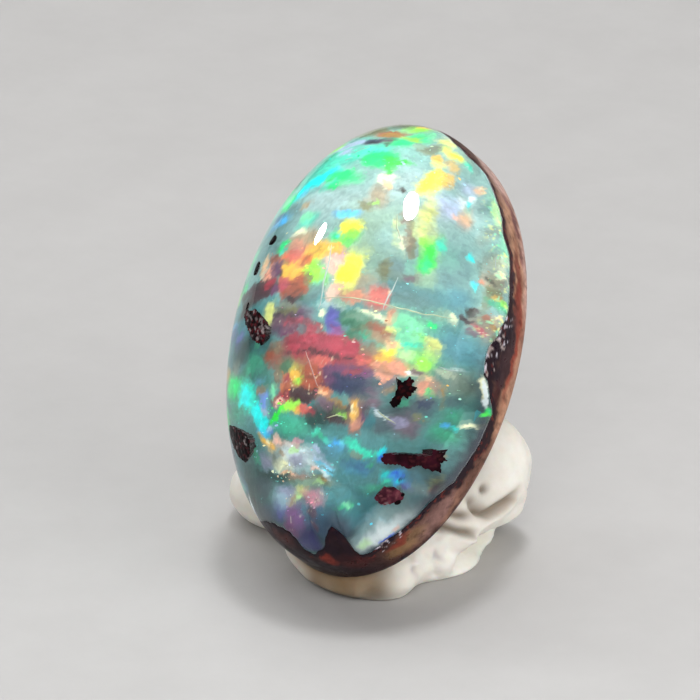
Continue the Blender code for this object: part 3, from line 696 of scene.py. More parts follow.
# Soft hazes over those.
FIRE_HAZES = (
    # round the top
    (-200, 570, 100, 50, 30, "turquoise"), (-150, 380, 50, 30, 0, "haze"),
    (-80, 590, 50, 30, 20, "turquoise"), (10, 450, 60, 50, 0, "aqua"), (100, 390, 35, 35, 0, "tan"),
    (180, 500, 35, 50, 0, "haze"), (330, 720, 50, 50, 0, "moss"), (340, 500, 30, 50, 0, "aqua"),
    (360, 430, 35, 45, 0, "lavender"), (400, 590, 30, 35, 0, "lavender"), (430, 450, 25, 40, 0, "peach"),
    (500, 540, 30, 40, 0, "slate"), (-260, 360, 50, 30, 0, "slate"), (-320, 280, 60, 50, 0, "slate"),
    (-145, 230, 60, 30, 5, "tan"), (180, 230, 35, 50, 0, "aqua"), (90, 190, 35, 35, 0, "moss"),
    (290, 290, 40, 35, 0, "straw"), (330, 135, 35, 30, 0, "spring"), (450, 330, 60, 50, 0, "aqua"),
    (400, 230, 45, 45, 0, "seafoam"), (580, 300, 45, 60, 0, "smoke"), (620, 240, 30, 30, 0, "brown"),
    # across the middle
    (490, 100, 50, 35, 0, "steel"), (320, 40, 80, 35, -4, "slate"), (430, 20, 35, 20, 0, "moss"),
    (130, 80, 35, 30, 0, "tan"), (240, 140, 40, 30, 0, "slate"), (520, -80, 90, 50, -14, "steel"),
    (550, -210, 80, 50, -8, "smoke"), (380, -190, 30, 25, 0, "tan"), (-60, -380, 70, 30, 0, "jade"),
    (-400, -340, 70, 40, 0, "jade"), (-340, -120, 70, 30, 8, "pine"), (-260, -170, 50, 30, 0, "jade"),
    (-400, -180, 40, 30, 0, "smoke"), (540, -290, 50, 25, 0, "shade"), (550, -350, 40, 25, 0, "jade"),
    # the lower part
    (-150, -490, 40, 25, 0, "smoke"), (-200, -510, 30, 30, 0, "lilac"), (0, -490, 50, 25, 0, "haze"),
    (-35, -500, 25, 20, 0, "lilac"), (60, -500, 50, 15, -30, "lavender"),
    (-170, -575, 90, 20, -4, "pine"), (-220, -610, 60, 30, 0, "shade"), (-20, -585, 60, 14, -6, "moss"),
    (50, -580, 50, 15, 0, "olive"), (-100, -615, 40, 20, 0, "lilac"), (-130, -690, 30, 20, 0, "violet"),
    (320, -340, 90, 45, 0, "shade"), (360, -390, 55, 35, 0, "mauve"), (-210, -700, 40, 30, 0, "shade"),
    (70, -730, 60, 50, 0, "denim"), (-200, -780, 40, 30, 0, "fern"), (-40, -830, 50, 30, 0, "violet"),
    (-420, -580, 40, 50, 0, "deep_teal"), (-400, -630, 30, 30, 0, "steel"),
    (100, -460, 40, 30, 0, "steel"), (200, -525, 45, 20, -10, "denim"), (270, -620, 50, 20, 0, "jade"),
    (100, -760, 60, 40, 0, "denim"), (240, -770, 50, 30, 0, "steel"), (420, -680, 30, 20, 0, "deep_teal"),
    (410, -770, 25, 50, -30, "lilac"), (410, -590, 40, 20, 0, "steel"), (680, -460, 25, 80, -20, "denim"),
    (620, -590, 25, 70, -24, "denim"), (610, -510, 25, 40, -20, "slate"), (500, -410, 40, 30, 0, "jade"),
    (540, -440, 40, 25, 0, "jade"),
    # where neighbours run together
    (-40, 450, 40, 25, 10, "emerald"), (545, 440, 18, 90, -28, "smoke"), (595, 160, 18, 80, -8, "olive"),
    (605, 20, 22, 50, -5, "brown"), (-300, -275, 30, 30, 0, "emerald"), (-60, -235, 50, 25, 0, "rust"),
    (-30, -175, 35, 16, 0, "rust"), (-85, -175, 25, 16, 0, "olive"), (275, -230, 30, 22, 0, "mauve"),
    (230, -275, 35, 25, 0, "mauve"), (140, -340, 40, 30, 0, "mauve"), (250, -370, 50, 30, 0, "shade"),
    (345, -365, 35, 30, 0, "mauve"), (430, -290, 35, 25, 0, "shade"), (140, -45, 40, 18, 0, "moss"),
    (345, 125, 30, 30, 0, "moss"), (-5, 15, 40, 25, 0, "teal"), (225, -165, 30, 16, 0, "ochre"),
    (175, -165, 30, 12, 0, "crimson"), (10, -585, 30, 20, 0, "moss"),
)
# Small crisp details last of all.
FIRE_DETAILS = (
    # the upper left edge
    (-250, 710, 25, 18, 20, "lime"), (-230, 630, 35, 30, 20, "jade"), (-350, 550, 25, 45, 0, "fern"),
    (-370, 490, 22, 50, 0, "emerald"), (-350, 440, 25, 25, 0, "mint"), (-205, 488, 68, 26, 25, "cyan"),
    (-240, 435, 30, 20, 10, "sky"), (-130, 475, 30, 20, 10, "emerald"), (-200, 365, 25, 14, 0, "tan"),
    (-170, 305, 30, 20, 0, "mint"), (-300, 325, 25, 20, 0, "azure"), (-360, 360, 30, 20, 0, "denim"),
    (-170, 250, 30, 10, 0, "cream"),
    # the top
    (10, 765, 60, 24, -8, "ochre"), (-60, 700, 40, 20, -6, "navy"), (-50, 685, 14, 8, 0, "black"),
    (10, 700, 35, 18, 0, "mauve"), (15, 665, 12, 10, 0, "maroon"), (-100, 820, 50, 30, 0, "olive"),
    (90, 825, 35, 20, 0, "lime"), (100, 850, 30, 12, 0, "amber"), (160, 790, 25, 20, 0, "mint"),
    (100, 740, 35, 20, 0, "lime"), (80, 690, 35, 22, 0, "emerald"), (140, 700, 25, 20, 0, "moss"),
    (-120, 700, 35, 20, 10, "lavender"), (-140, 630, 30, 20, 0, "lavender"),
    (10, 565, 40, 40, 0, "emerald"), (75, 560, 30, 22, 0, "green"), (132, 558, 22, 12, 25, "green"),
    (90, 500, 16, 25, 0, "green"), (-75, 475, 30, 24, 0, "emerald"), (-100, 430, 30, 15, 0, "emerald"),
    (95, 460, 27, 22, 0, "cream"), (120, 440, 20, 15, 0, "peach"), (65, 340, 25, 20, 0, "olive"),
    (95, 360, 10, 10, 0, "lime"), (172, 430, 12, 14, 0, "umber"), (245, 510, 24, 75, -6, "yellow"),
    (290, 360, 25, 30, 0, "straw"), (5, 292, 40, 14, 4, "sky"), (45, 260, 35, 20, 10, "yellow"),
    (100, 270, 30, 20, 0, "moss"), (215, 310, 20, 20, 0, "brown"),
    # the upper right
    (250, 630, 20, 30, -6, "straw"), (270, 590, 16, 20, 0, "amber"), (300, 695, 30, 14, -10, "yellow"),
    (240, 660, 20, 20, 0, "amber"), (230, 760, 35, 20, 0, "straw"), (200, 710, 25, 25, 0, "smoke"),
    (250, 800, 40, 20, 0, "cream"), (270, 860, 30, 20, 0, "haze"), (350, 680, 20, 14, 0, "turquoise"),
    (425, 540, 14, 28, 0, "white"), (430, 610, 20, 20, 0, "peach"), (425, 520, 12, 18, 0, "cyan"),
    (390, 410, 20, 15, 0, "blush"), (525, 540, 18, 60, 20, "spring"),
    # left of the middle
    (-235, 215, 24, 20, 0, "emerald"), (-170, 200, 30, 15, 0, "salmon"), (-60, 175, 50, 20, 4, "amber"),
    (-310, 155, 14, 40, 8, "peach"), (-260, 175, 30, 18, 0, "rust"), (-230, 130, 30, 30, 0, "plum"),
    (-160, 160, 30, 16, 0, "coral"), (-100, 140, 25, 20, 0, "orange"), (-170, 115, 50, 16, -37, "amber"),
    (-60, 110, 18, 36, 0, "lime"), (-40, 60, 20, 15, 0, "mint"), (-110, 50, 42, 30, 8, "rust"),
    (-170, 70, 26, 22, 0, "rose"), (-110, 18, 35, 8, 6, "maroon"), (-75, 75, 12, 20, 0, "olive"),
    (-330, 85, 95, 20, 4, "maroon"), (-325, 70, 30, 16, 0, "wine"), (-255, 85, 30, 16, 0, "crimson"),
    (-420, 75, 30, 20, 0, "umber"), (-210, 55, 20, 15, 0, "plum"), (-220, 30, 30, 12, 0, "sea"),
    (-490, 140, 20, 30, 0, "jade"), (-50, 20, 35, 10, 0, "fern"), (10, -30, 10, 7, 0, "cream"),
    (-35, 35, 30, 30, 0, "slate"), (35, 35, 25, 30, 0, "blush"), (-140, 0, 60, 10, 2, "smoke"),
    (50, -8, 50, 7, 0, "haze"), (-210, -20, 20, 36, 0, "straw"), (-120, -15, 45, 10, 4, "olive"),
    (-150, -55, 35, 18, 0, "mauve"), (-90, -60, 36, 16, 0, "rose"), (-110, -90, 30, 10, 0, "plum"),
    (-55, -80, 16, 16, 0, "sea"), (-30, -85, 20, 12, 0, "rose"), (50, -45, 22, 22, 0, "violet"),
    # the middle
    (40, 250, 34, 16, 10, "yellow"), (35, 220, 30, 12, 0, "lime"), (5, 225, 12, 10, 0, "turquoise"),
    (230, 220, 6, 32, 18, "cream"), (250, 240, 16, 50, 14, "brown"), (280, 160, 20, 30, 12, "seafoam"),
    (310, 125, 20, 15, 0, "smoke"), (310, 250, 20, 25, 0, "lime"), (325, 200, 26, 50, -6, "green"),
    (330, 175, 14, 30, -6, "emerald"), (0, 175, 25, 16, 0, "amber"), (15, 120, 28, 36, 0, "blush"),
    (75, 110, 34, 55, -4, "yellow"), (90, 45, 30, 16, 0, "straw"), (140, 120, 22, 30, 0, "moss"),
    (195, 130, 18, 28, 0, "olive"), (290, 110, 20, 12, 0, "mauve"), (190, 45, 28, 22, 0, "coral"),
    (125, 30, 34, 14, -4, "salmon"), (80, 5, 35, 10, 0, "moss"), (190, -22, 45, 8, -6, "cream"),
    (245, -30, 20, 14, 0, "peach"), (75, -85, 20, 14, 0, "magenta"), (120, -60, 40, 14, -10, "fern"),
    (210, -80, 28, 18, -16, "rust"), (290, -40, 30, 20, 0, "mint"), (405, -25, 20, 12, 0, "emerald"),
    # the right
    (340, 240, 8, 30, 0, "green"), (370, 260, 20, 16, 0, "turquoise"), (495, 280, 14, 11, 0, "cyan"),
    (530, 185, 13, 13, 0, "sky"), (610, 460, 20, 30, 10, "spring"), (640, 430, 14, 14, 0, "mint"),
    (620, 275, 18, 18, 0, "cream"), (560, 215, 14, 12, 0, "salmon"), (590, 235, 22, 10, -20, "umber"),
    (615, 195, 20, 14, 0, "olive"), (635, 180, 12, 10, 0, "ochre"), (650, 160, 12, 12, 0, "lime"),
    (685, 170, 14, 14, 0, "mint"), (610, 140, 20, 16, 0, "jade"), (560, 85, 16, 12, 0, "maroon"),
    (650, 95, 12, 12, 0, "blush"), (530, 36, 34, 10, -6, "wine"), (550, 70, 20, 16, 0, "umber"),
    (620, 45, 14, 14, 0, "ochre"), (675, 95, 6, 6, 0, "maroon"), (600, 70, 16, 12, 0, "rust"),
    (515, 35, 14, 12, 0, "maroon"), (540, 30, 14, 10, 0, "maroon"), (575, 20, 14, 12, 0, "garnet"),
    (590, 5, 12, 10, 0, "rose"), (560, -10, 20, 12, 0, "mauve"), (470, 28, 13, 8, 0, "cream"),
    (660, 0, 14, 16, 0, "ochre"), (630, 0, 10, 12, 0, "olive"),
    # the crimson band and what lies left of it
    (-470, -50, 50, 30, 10, "denim"), (-400, -30, 30, 25, 0, "deep_teal"),
    (-260, -110, 14, 14, 0, "jade"), (-100, -75, 30, 12, 0, "mauve"), (0, -75, 20, 12, 0, "rose"),
    (-50, -122, 60, 12, 0, "garnet"), (-150, -140, 30, 16, 0, "brown"), (-190, -162, 30, 16, 6, "rust"),
    (90, -130, 80, 16, -2, "garnet"), (80, -158, 80, 4.5, -2, "wine"), (40, -180, 45, 16, -3, "coral"),
    (190, -130, 24, 16, 0, "brown"), (100, -195, 30, 10, 0, "plum"), (-300, -195, 20, 12, 0, "jade"),
    (-100, -190, 26, 14, 0, "fern"), (-50, -200, 20, 14, 0, "ochre"), (-65, -220, 16, 16, 0, "amber"),
    (-50, -232, 14, 14, 0, "lime"), (-92, -235, 14, 20, 10, "crimson"), (-80, -262, 20, 20, 0, "rust"),
    (5, -220, 40, 26, 0, "rust"), (70, -220, 26, 30, 0, "plum"), (-35, -280, 40, 18, 0, "maroon"),
    (-85, -290, 20, 14, 0, "crimson"), (50, -275, 20, 12, 0, "peach"), (60, -270, 10, 8, 0, "orange"),
    (-110, -300, 18, 10, 0, "blush"), (-55, -310, 30, 9, 8, "lime"), (-50, -328, 16, 9, 0, "amber"),
    (15, -335, 18, 12, 0, "crimson"), (-15, -325, 24, 15, -10, "coral"),
    (-120, -340, 26, 10, 45, "green"), (-150, -270, 22, 20, 0, "mint"),
    (-430, -242, 60, 20, 0, "emerald"), (-310, -280, 42, 40, -20, "cyan"),
    (-230, -355, 22, 46, 40, "cyan"), (-200, -300, 20, 22, 0, "periwinkle"),
    (-160, -390, 22, 12, 0, "lavender"), (30, -360, 30, 20, 0, "pine"), (-220, -235, 24, 14, 0, "steel"),
    (-210, -270, 20, 16, 0, "brown"), (-140, -220, 12, 30, 6, "brown"),
    # right of the crimson band
    (180, -95, 25, 12, 0, "jade"), (130, -95, 30, 12, 0, "fern"), (220, -95, 20, 12, 0, "tan"),
    (270, -110, 24, 14, 0, "peach"), (260, -60, 24, 12, 0, "straw"), (340, -80, 30, 16, 0, "mint"),
    (340, -102, 30, 10, 0, "turquoise"), (260, -135, 30, 10, 10, "yellow"),
    (330, -140, 30, 14, 0, "spring"), (430, -90, 22, 20, 0, "straw"), (400, -160, 26, 16, 0, "lime"),
    (400, -70, 20, 14, 0, "straw"), (180, -170, 24, 12, 0, "coral"), (240, -160, 22, 14, 0, "amber"),
    (230, -180, 24, 10, 0, "salmon"), (290, -180, 30, 14, -8, "salmon"), (342, -193, 9, 6, 0, "white"),
    (150, -208, 30, 10, 0, "crimson"), (110, -225, 35, 10, 0, "indigo"), (190, -220, 22, 10, 0, "plum"),
    (250, -215, 24, 12, 0, "salmon"), (225, -242, 24, 12, 0, "shade"), (130, -260, 40, 12, 0, "indigo"),
    (190, -275, 35, 12, 0, "shade"), (290, -260, 24, 14, 0, "brown"), (230, -300, 35, 12, 0, "mauve"),
    (400, -240, 30, 20, 0, "salmon"), (370, -190, 20, 10, 0, "mauve"), (360, -262, 14, 12, 0, "olive"),
    (410, -300, 30, 18, 0, "shade"), (340, -300, 24, 10, 0, "jade"), (115, -330, 40, 24, -4, "umber"),
    (72, -312, 28, 20, 0, "mauve"), (105, -302, 34, 5, -8, "ochre"), (85, -355, 30, 10, 0, "wine"),
    (120, -338, 22, 3.5, -8, "lime"), (168, -330, 14, 34, 6, "amber"), (160, -320, 7, 14, 0, "cream"),
    (178, -375, 16, 24, 4, "salmon"), (225, -370, 20, 25, 0, "deep_teal"), (200, -350, 8, 25, 0, "plum"),
    (270, -337, 32, 4.5, -24, "white"), (340, -370, 30, 24, 0, "lilac"), (280, -385, 26, 10, 0, "shade"),
    (410, -350, 20, 16, 0, "olive"), (520, -160, 40, 5, 6, "haze"), (420, -210, 20, 14, 0, "peach"),
    (420, -290, 20, 14, 0, "indigo"), (485, -240, 8, 20, -10, "ochre"), (430, -250, 12, 9, 0, "emerald"),
    (520, -390, 22, 10, 0, "azure"), (630, -383, 30, 6, 4, "cream"), (680, -360, 16, 7, 0, "straw"),
    (550, -430, 20, 10, 0, "jade"), (515, -515, 20, 10, 0, "tan"),
    # the pale bloom
    (-265, -480, 17, 42, 32, "jade"), (-165, -440, 32, 9, -38, "amber"),
    (-180, -430, 14, 6, -38, "cream"), (-160, -405, 14, 7, 0, "periwinkle"),
    (-125, -430, 24, 12, 0, "blush"), (-40, -430, 18, 11, 0, "pink"), (50, -412, 20, 10, -20, "jade"),
    (-100, -475, 22, 10, -20, "tan"), (-85, -510, 12, 12, 0, "cream"), (-50, -460, 20, 10, 0, "spring"),
    (40, -462, 35, 6, -30, "lavender"), (70, -515, 40, 7, -28, "sky"), (-90, -548, 40, 5, -4, "peach"),
    (25, -532, 20, 8, 0, "blush"), (55, -570, 12, 8, 0, "ochre"), (35, -585, 16, 8, 0, "spring"),
    (75, -542, 30, 4, -14, "sky"), (10, -650, 28, 30, 0, "pink"), (10, -700, 20, 18, 0, "mauve"),
    (-75, -650, 20, 16, 0, "tan"), (-50, -638, 16, 12, 0, "spring"), (-90, -755, 20, 40, 16, "magenta"),
    (10, -745, 20, 16, 0, "mauve"), (-300, -670, 14, 20, 0, "umber"),
    # the blues
    (210, -458, 44, 10, -36, "turquoise"), (275, -475, 11, 20, -8, "cyan"), (295, -500, 8, 14, 0, "blue"),
    (190, -482, 20, 10, -20, "smoke"), (135, -440, 20, 5, -30, "sky"), (110, -440, 16, 10, 0, "azure"),
    (240, -520, 16, 9, 0, "jade"), (310, -600, 16, 8, 0, "turquoise"), (340, -568, 28, 18, -10, "azure"),
    (340, -570, 14, 9, 0, "blue"), (360, -615, 14, 8, -20, "cyan"), (365, -605, 7, 6, 0, "navy"),
    (380, -640, 14, 8, 0, "violet"), (360, -655, 6, 5, 0, "black"), (490, -630, 14, 10, 0, "salmon"),
    (505, -600, 16, 12, 0, "straw"), (150, -670, 24, 10, -20, "mint"), (350, -745, 24, 8, 0, "olive"),
    (300, -760, 24, 7, 10, "sky"),
)
# Tints that go over the finished fire, where its edge shows through the side of the dome. Some are painted
# highlights, standing in for reflections and light gathered in the edge: the haze and white strokes at the
# lower right, the white streak at the lower left and the cream and white crescent on the right.
EDGE_TINTS_AND_PAINTED_HIGHLIGHTS = (
    (275, -795, 130, 50, 33, "haze", 0.8, 0.8), (275, -815, 100, 26, 33, "white", 0.8, 1.0),
    (200, -860, 30, 20, 30, "spring", 0.6, 0.6), (-30, -830, 40, 70, 0, "indigo", 0.6, 0.9),
    (-35, -900, 40, 30, 0, "pine", 0.5, 0.9), (330, -800, 20, 8, 33, "blush", 0.6, 0.8),
    (290, -842, 32, 5, 30, "blue", 0.5, 0.9), (638, -210, 15, 50, 20, "cream", 0.3, 0.95),
    (652, -235, 12, 60, 20, "white", 0.3, 0.95), (685, -300, 12, 16, 0, "emerald", 0.4, 0.9),
    (670, -320, 16, 8, 20, "green", 0.4, 0.9), (-350, -720, 16, 55, 24, "white", 0.5, 0.9),
)


DOMAIN_CELLS = 101  # patches in a row before they repeat


def nearest_cells(x, y, wide, long, seed):
    """For each place, the middle of the patch it lies in, and a random number kept by that patch."""
    draws = np.random.default_rng(seed).random((3, DOMAIN_CELLS, DOMAIN_CELLS))
    across, along = x / wide, y / long
    column, row = np.floor(across).astype(int), np.floor(along).astype(int)
    best = np.full(x.shape, np.inf)
    middle_x, middle_y, luck = np.zeros(x.shape), np.zeros(x.shape), np.zeros(x.shape)
    for step_x in (-1, 0, 1):
        for step_y in (-1, 0, 1):
            key = (row + step_y) % DOMAIN_CELLS, (column + step_x) % DOMAIN_CELLS
            spot_x = column + step_x + draws[0][key]
            spot_y = row + step_y + draws[1][key]
            far = (spot_x - across) ** 2 + (spot_y - along) ** 2
            nearer = far < best
            best = np.where(nearer, far, best)
            middle_x = np.where(nearer, spot_x * wide, middle_x)
            middle_y = np.where(nearer, spot_y * long, middle_y)
            luck = np.where(nearer, draws[2][key], luck)
    return middle_x, middle_y, luck


FIRE_GAIN, FIRE_CONTRAST, MIDDLE_TONE = 0.92, 0.35, 0.6
# How much of the fire's colour is each place's own, its broad domain's and its small domain's.
FIRE_SHARES = (0.30, 0.18, 0.52)
FISSURE_DARKENING, WARM_FISSURES, GLITTER_COVER, SPARKLE_COVER = 0.14, 0.12, 0.5, 0.8
# How strongly dark rock shows through the thin opal along the seam: turn in degrees, strength.
NAVY_BAND = (
    (-180, 0.3), (-130, 0.4), (-85, 0.4), (-70, 0.9), (-20, 0.95), (-12, 0.5), (0, 0.2), (20, 0.0),
    (150, 0.0), (180, 0.3),
)
# How thickly flecks of gold and green crowd the seam, the same way.
SEAM_SPARKLE = ((-180, 0.0), (-5, 0.0), (4, 0.9), (32, 0.9), (48, 0.0), (180, 0.0))
CALM_SPAN = 81  # steps of the rim over which the seam's bends are evened out for the rings inside it
CALM_SEAM = np.convolve(np.tile(SEAM, 3), np.full(CALM_SPAN, 1.0 / CALM_SPAN), "same")
CALM_SEAM = CALM_SEAM[RIM_SEGMENTS : 2 * RIM_SEGMENTS]


def reach_seam(share, turn, gap):
    """The tilt at a share of the way from the top to the seam. Only the last part follows its bends."""
    edge, calm = seam_at(turn) - gap, seam_at(turn, CALM_SEAM)
    return share * (calm + (edge - calm) * smooth_step(0.55, 1.0, share))


def inside_seam(x, y):
    """How far each place is from the nearest bit of the seam, in radians of the dome."""
    across, along = 0.5 * np.pi * x / MAP_HALF[0], 0.5 * np.pi * y / MAP_HALF[1]
    far = np.full(len(x), 9.0)
    for turn, tilt in zip(TURNS, SEAM):
        far = np.minimum(far, (across - tilt * math.cos(turn)) ** 2 + (along - tilt * math.sin(turn)) ** 2)
    return np.sqrt(far)


def lay_strokes(colours, x, y, strokes, *softness_and_strength):
    """Daubs strokes written in hundredths of a millimetre over the colours at each place."""
    strokes = [
        (*(0.01 * size for size in stroke[:4]), *stroke[4:], *softness_and_strength) for stroke in strokes
    ]
    return daub(colours, x, y, strokes, FIRE_COLOURS)


def smooth_fire(x, y):
    colours = tinted(FIRE_COLOURS["teal"], FIRE_COLOURS["aqua"], smooth_step(-3.0, 3.5, y))
    colours = lay_strokes(colours, x, y, FIRE_FIELDS + FIRE_PATCHES)
    colours = lay_strokes(colours, x, y, FIRE_HAZES, HAZE_SOFTNESS, HAZE_STRENGTH)
    return lay_strokes(colours, x, y, FIRE_DETAILS, DETAIL_SOFTNESS, DETAIL_STRENGTH)


def fire_colours(x, y):
    """Patches of colour with ragged edges, each broken into small domains that glow a little apart."""
    wave_x = x + 0.11 * ramble(x, y, 0.45, 101) + 0.045 * ramble(x, y, 0.13, 111, 2)
    wave_y = y + 0.09 * ramble(x, y, 0.45, 121) + 0.045 * ramble(x, y, 0.13, 131, 2)
    broad_x, broad_y, broad_luck = nearest_cells(wave_x, wave_y, 0.34, 0.24, 141)
    small_x, small_y, small_luck = nearest_cells(wave_x, wave_y, 0.14, 0.11, 151)
    layers = (wave_x, wave_y), (broad_x, broad_y), (small_x, small_y)
    colours = sum(share * smooth_fire(*places) for share, places in zip(FIRE_SHARES, layers))
    # fine dark fissures, and glitter where the colour is warm
    warm = smooth_step(0.0, 0.12, colours[:, 0] - colours[:, 1])
    fissure = smooth_drop(0.0, 0.16, np.abs(ramble(0.5 * x, 2.0 * y, 0.9, 191, 2)))
    fissure = fissure * smooth_step(-0.1, 0.4, cloud(x, y, 0.7, 193))
    colours = colours * (1.0 - (FISSURE_DARKENING + WARM_FISSURES * warm) * fissure)[:, None]
    glitter = GLITTER_COVER * warm * smooth_step(0.75, 1.0, ramble(x, y, 0.12, 197, 2))
    colours = tinted(colours, FIRE_COLOURS["cream"], glitter * smooth_step(0.1, 0.5, cloud(x, y, 0.6, 198)))
    colours = colours * (FIRE_GAIN * (colours.mean(1, keepdims=True) / MIDDLE_TONE) ** FIRE_CONTRAST)
    glow = 0.80 + 0.18 * broad_luck + 0.22 * small_luck + 0.12 * ramble(x, y, 1.1, 171)
    glow = glow + 0.07 * ramble(0.22 * x, y, 0.20, 181, 2)
    # dark rock through the thin edge, and the flecks that crowd it
    turn = np.degrees(np.arctan2(y / MAP_HALF[1], x / MAP_HALF[0]))
    inset = inside_seam(x, y)
    band = smooth_drop(0.03, 0.13, 0.8 * inset + 0.03 * ramble(x, y, 0.5, 195))
    band = band * np.interp(turn, *np.transpose(NAVY_BAND))
    colours = tinted(colours * glow[:, None], FIRE_COLOURS["night"], band)
    sparkle = smooth_step(0.35, 0.75, ramble(x, y, 0.14, 199, 2)) * smooth_drop(0.06, 0.20, inset)
    sparkle = SPARKLE_COVER * sparkle * np.interp(turn, *np.transpose(SEAM_SPARKLE))
    fleck = np.where((small_luck > 0.5)[:, None], FIRE_COLOURS["straw"], FIRE_COLOURS["mint"])
    # the edge tints go on last, the painted highlights among them
    return lay_strokes(tinted(colours, fleck, sparkle), wave_x, wave_y, EDGE_TINTS_AND_PAINTED_HIGHLIGHTS), small_luck


def square_disc(rows):
    """An even grid on a disc: how far out each point is, from 0 to 1, and its turn."""
    steps = np.linspace(-1.0, 1.0, rows + 1)
    across, along = (part.ravel() for part in np.meshgrid(steps, steps))
    wide = np.abs(across) >= np.abs(along)
    share = np.maximum(np.abs(across), np.abs(along))
    safe = np.where(share > 0.0, share, 1.0)
    turn = np.where(
        wide,
        0.25 * np.pi * along * np.sign(across) / safe + np.where(across < 0.0, np.pi, 0.0),
        0.25 * np.pi * (2.0 * np.sign(along) - across * np.sign(along) / safe),
    )
    return share, turn % (2 * np.pi)


def fire_depth(x, y):
    """How deep the fire lies under each place. It comes up to the polish towards the seam."""
    near = smooth_step(0.0, 0.24, inside_seam(x, y))
    return FIRE_EDGE_DEPTH + (FIRE_DEPTH - FIRE_EDGE_DEPTH) * near


# Under the fire: how near the edge each ring is, as a share, then in millimetres its gap above the rock,
# how far below the polish it stays, and how far it may rise above its own edge.
UNDER_DOME, FIRE_FLOOR_GAP, FLOOR_DEPTH, FIRE_SWELL = (0.93, 0.6, 0.25), 0.08, 1.1, 1.4
DOMAIN_RELIEF, FIRE_RELIEF = 0.014, 0.05


def make_fire():
    share, turn = square_disc(FIRE_ROWS)
    x, y = on_map(reach_seam(share, turn, FIRE_EDGE_GAP), turn)
    colours, luck = fire_colours(x, y)
    inside = smooth_step(0.0, 0.12, 1.0 - share)
    relief = inside * (DOMAIN_RELIEF * (luck - 0.5) + FIRE_RELIEF * ramble(x, y, 0.9, 161, 1))
    top = over_dome(x, y, fire_depth(x, y) - relief)
    grid = np.arange((FIRE_ROWS + 1) ** 2).reshape(FIRE_ROWS + 1, FIRE_ROWS + 1)
    faces = np.stack((grid[:-1, :-1], grid[:-1, 1:], grid[1:, 1:], grid[1:, :-1]), -1)
    faces = faces.reshape(-1, 4).tolist()
    loop = np.concatenate((grid[0, :-1], grid[:-1, -1], grid[-1, :0:-1], grid[:0:-1, 0]))
    edge = top[loop]
    count = len(loop)
    after = (np.arange(count) + 1) % count
    points, last = [top], loop
    for nearness in UNDER_DOME:
        flat = edge[:, :2] * nearness
        floor = np.minimum(rock_tops(flat) + FIRE_FLOOR_GAP, over_dome_height(flat) - FLOOR_DEPTH)
        points.append(np.column_stack((flat, np.minimum(floor, edge[:, 2] + FIRE_SWELL))))
        ring = np.arange(count) + sum(map(len, points[:-1]))
        faces += np.stack((last, ring, ring[after], last[after]), -1).tolist()
        last = ring
    points.append(points[-1].mean(0, keepdims=True))
    hub = sum(map(len, points)) - 1
    faces += np.stack((last, np.full(count, hub), last[after]), -1).tolist()
    points = np.concatenate(points)
    made = solid_mesh("opal_fire", to_world(points), faces)
    under = np.tile(FIRE_COLOURS["deep_teal"], (len(points) - len(top), 1))
    give_colour_and_painted_light(made, np.concatenate((colours, under)))
    clouds = (0.03, 0.09, 0.11), 0.22, 520.0, (0.5, 0.8, 1.5)
    grains = (0.02, 0.06, 0.06), 0.07, 9000.0
    # the fire's colours are also emitted: a painted glow, though the fire is no lamp, that keeps them
    # bright under the clear dome
    finish, *_ = painted_light_and_colour_material(
        "opal_fire", [clouds, grains], relief=(0.08, 0.00003), glow=True, roughness=0.42,
        emission_strength=0.33,
    )
    made.data.materials.append(finish)
    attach(made, "root")


def over_dome_height(flat):
    """The dome's height over places given across and along the stone."""
    far = np.clip(1.0 - (flat[:, 0] / HALF[0]) ** 2 - (flat[:, 1] / HALF[1]) ** 2, 0.0, 1.0)
    return GIRDLE_HEIGHT + HALF[2] * np.sqrt(far)


make_fire()


# The clear opal. The water-clear top of the stone, domed and polished all over to a glassy face. It is
# one piece with the fire below it and meets the rock along a wandering seam.
DOME_SEGMENTS, DOME_RINGS, SEAM_CLEARANCE = 640, 90, 0.004
OPAL_COLOUR, OPAL_VEIL = (0.93, 0.98, 0.97, 1.0), (0.80, 0.92, 0.90)


def make_dome():
    turn = np.linspace(0.0, 2 * np.pi, DOME_SEGMENTS, endpoint=False)
    rings = []
    for share in np.linspace(0.01, 1.0, DOME_RINGS):
        rings.append(over_dome(*on_map(reach_seam(share, turn, SEAM_CLEARANCE), turn)))
    seam = rings[-1]
    for nearness in np.linspace(0.97, 0.05, UNDER_RINGS):
        flat = seam[:, :2] * nearness
        inward = 1.0 - nearness
        floor = np.minimum(rock_tops(flat) + SEAM_LAP, over_dome_height(flat) - 0.9 * inward - 0.05)
        rings.append(np.column_stack((flat, np.minimum(floor, seam[:, 2] + 3.0 * inward))))
    rings = np.array(rings)[::-1]
    made = ringed_mesh("clear_opal_dome", to_world(rings.reshape(-1, 3)).reshape(rings.shape))
    made.data.materials.append(make_opal_material())
    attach(made, "root")
    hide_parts("opal")


def make_opal_material():
    made, tree, shader = new_material(
        "clear_opal", base_color=OPAL_COLOUR, roughness=0.02, ior=1.42,
        transmission_weight=1.0, specular_tint=(0.7, 0.7, 0.72, 1.0),
    )
    veil = mottled(tree, OPAL_COLOUR, OPAL_VEIL, 0.25, 700.0)
    shine = add_node(
        tree, "ShaderNodeMapRange",
        (("Value", veil.outputs["Grain"]), ("To Min", 0.01), ("To Max", 0.035)),
    )
    depth = add_node(
        tree, "ShaderNodeVolumeAbsorption", (("Color", (0.55, 0.92, 0.86, 1.0)), ("Density", 60.0))
    )
    tree.links.new(veil.outputs["Colour"], shader.inputs["Base Color"])
    tree.links.new(shine.outputs[0], shader.inputs["Roughness"])
    tree.links.new(depth.outputs[0], tree.nodes["Material Output"].inputs["Volume"])
    return made


make_dome()


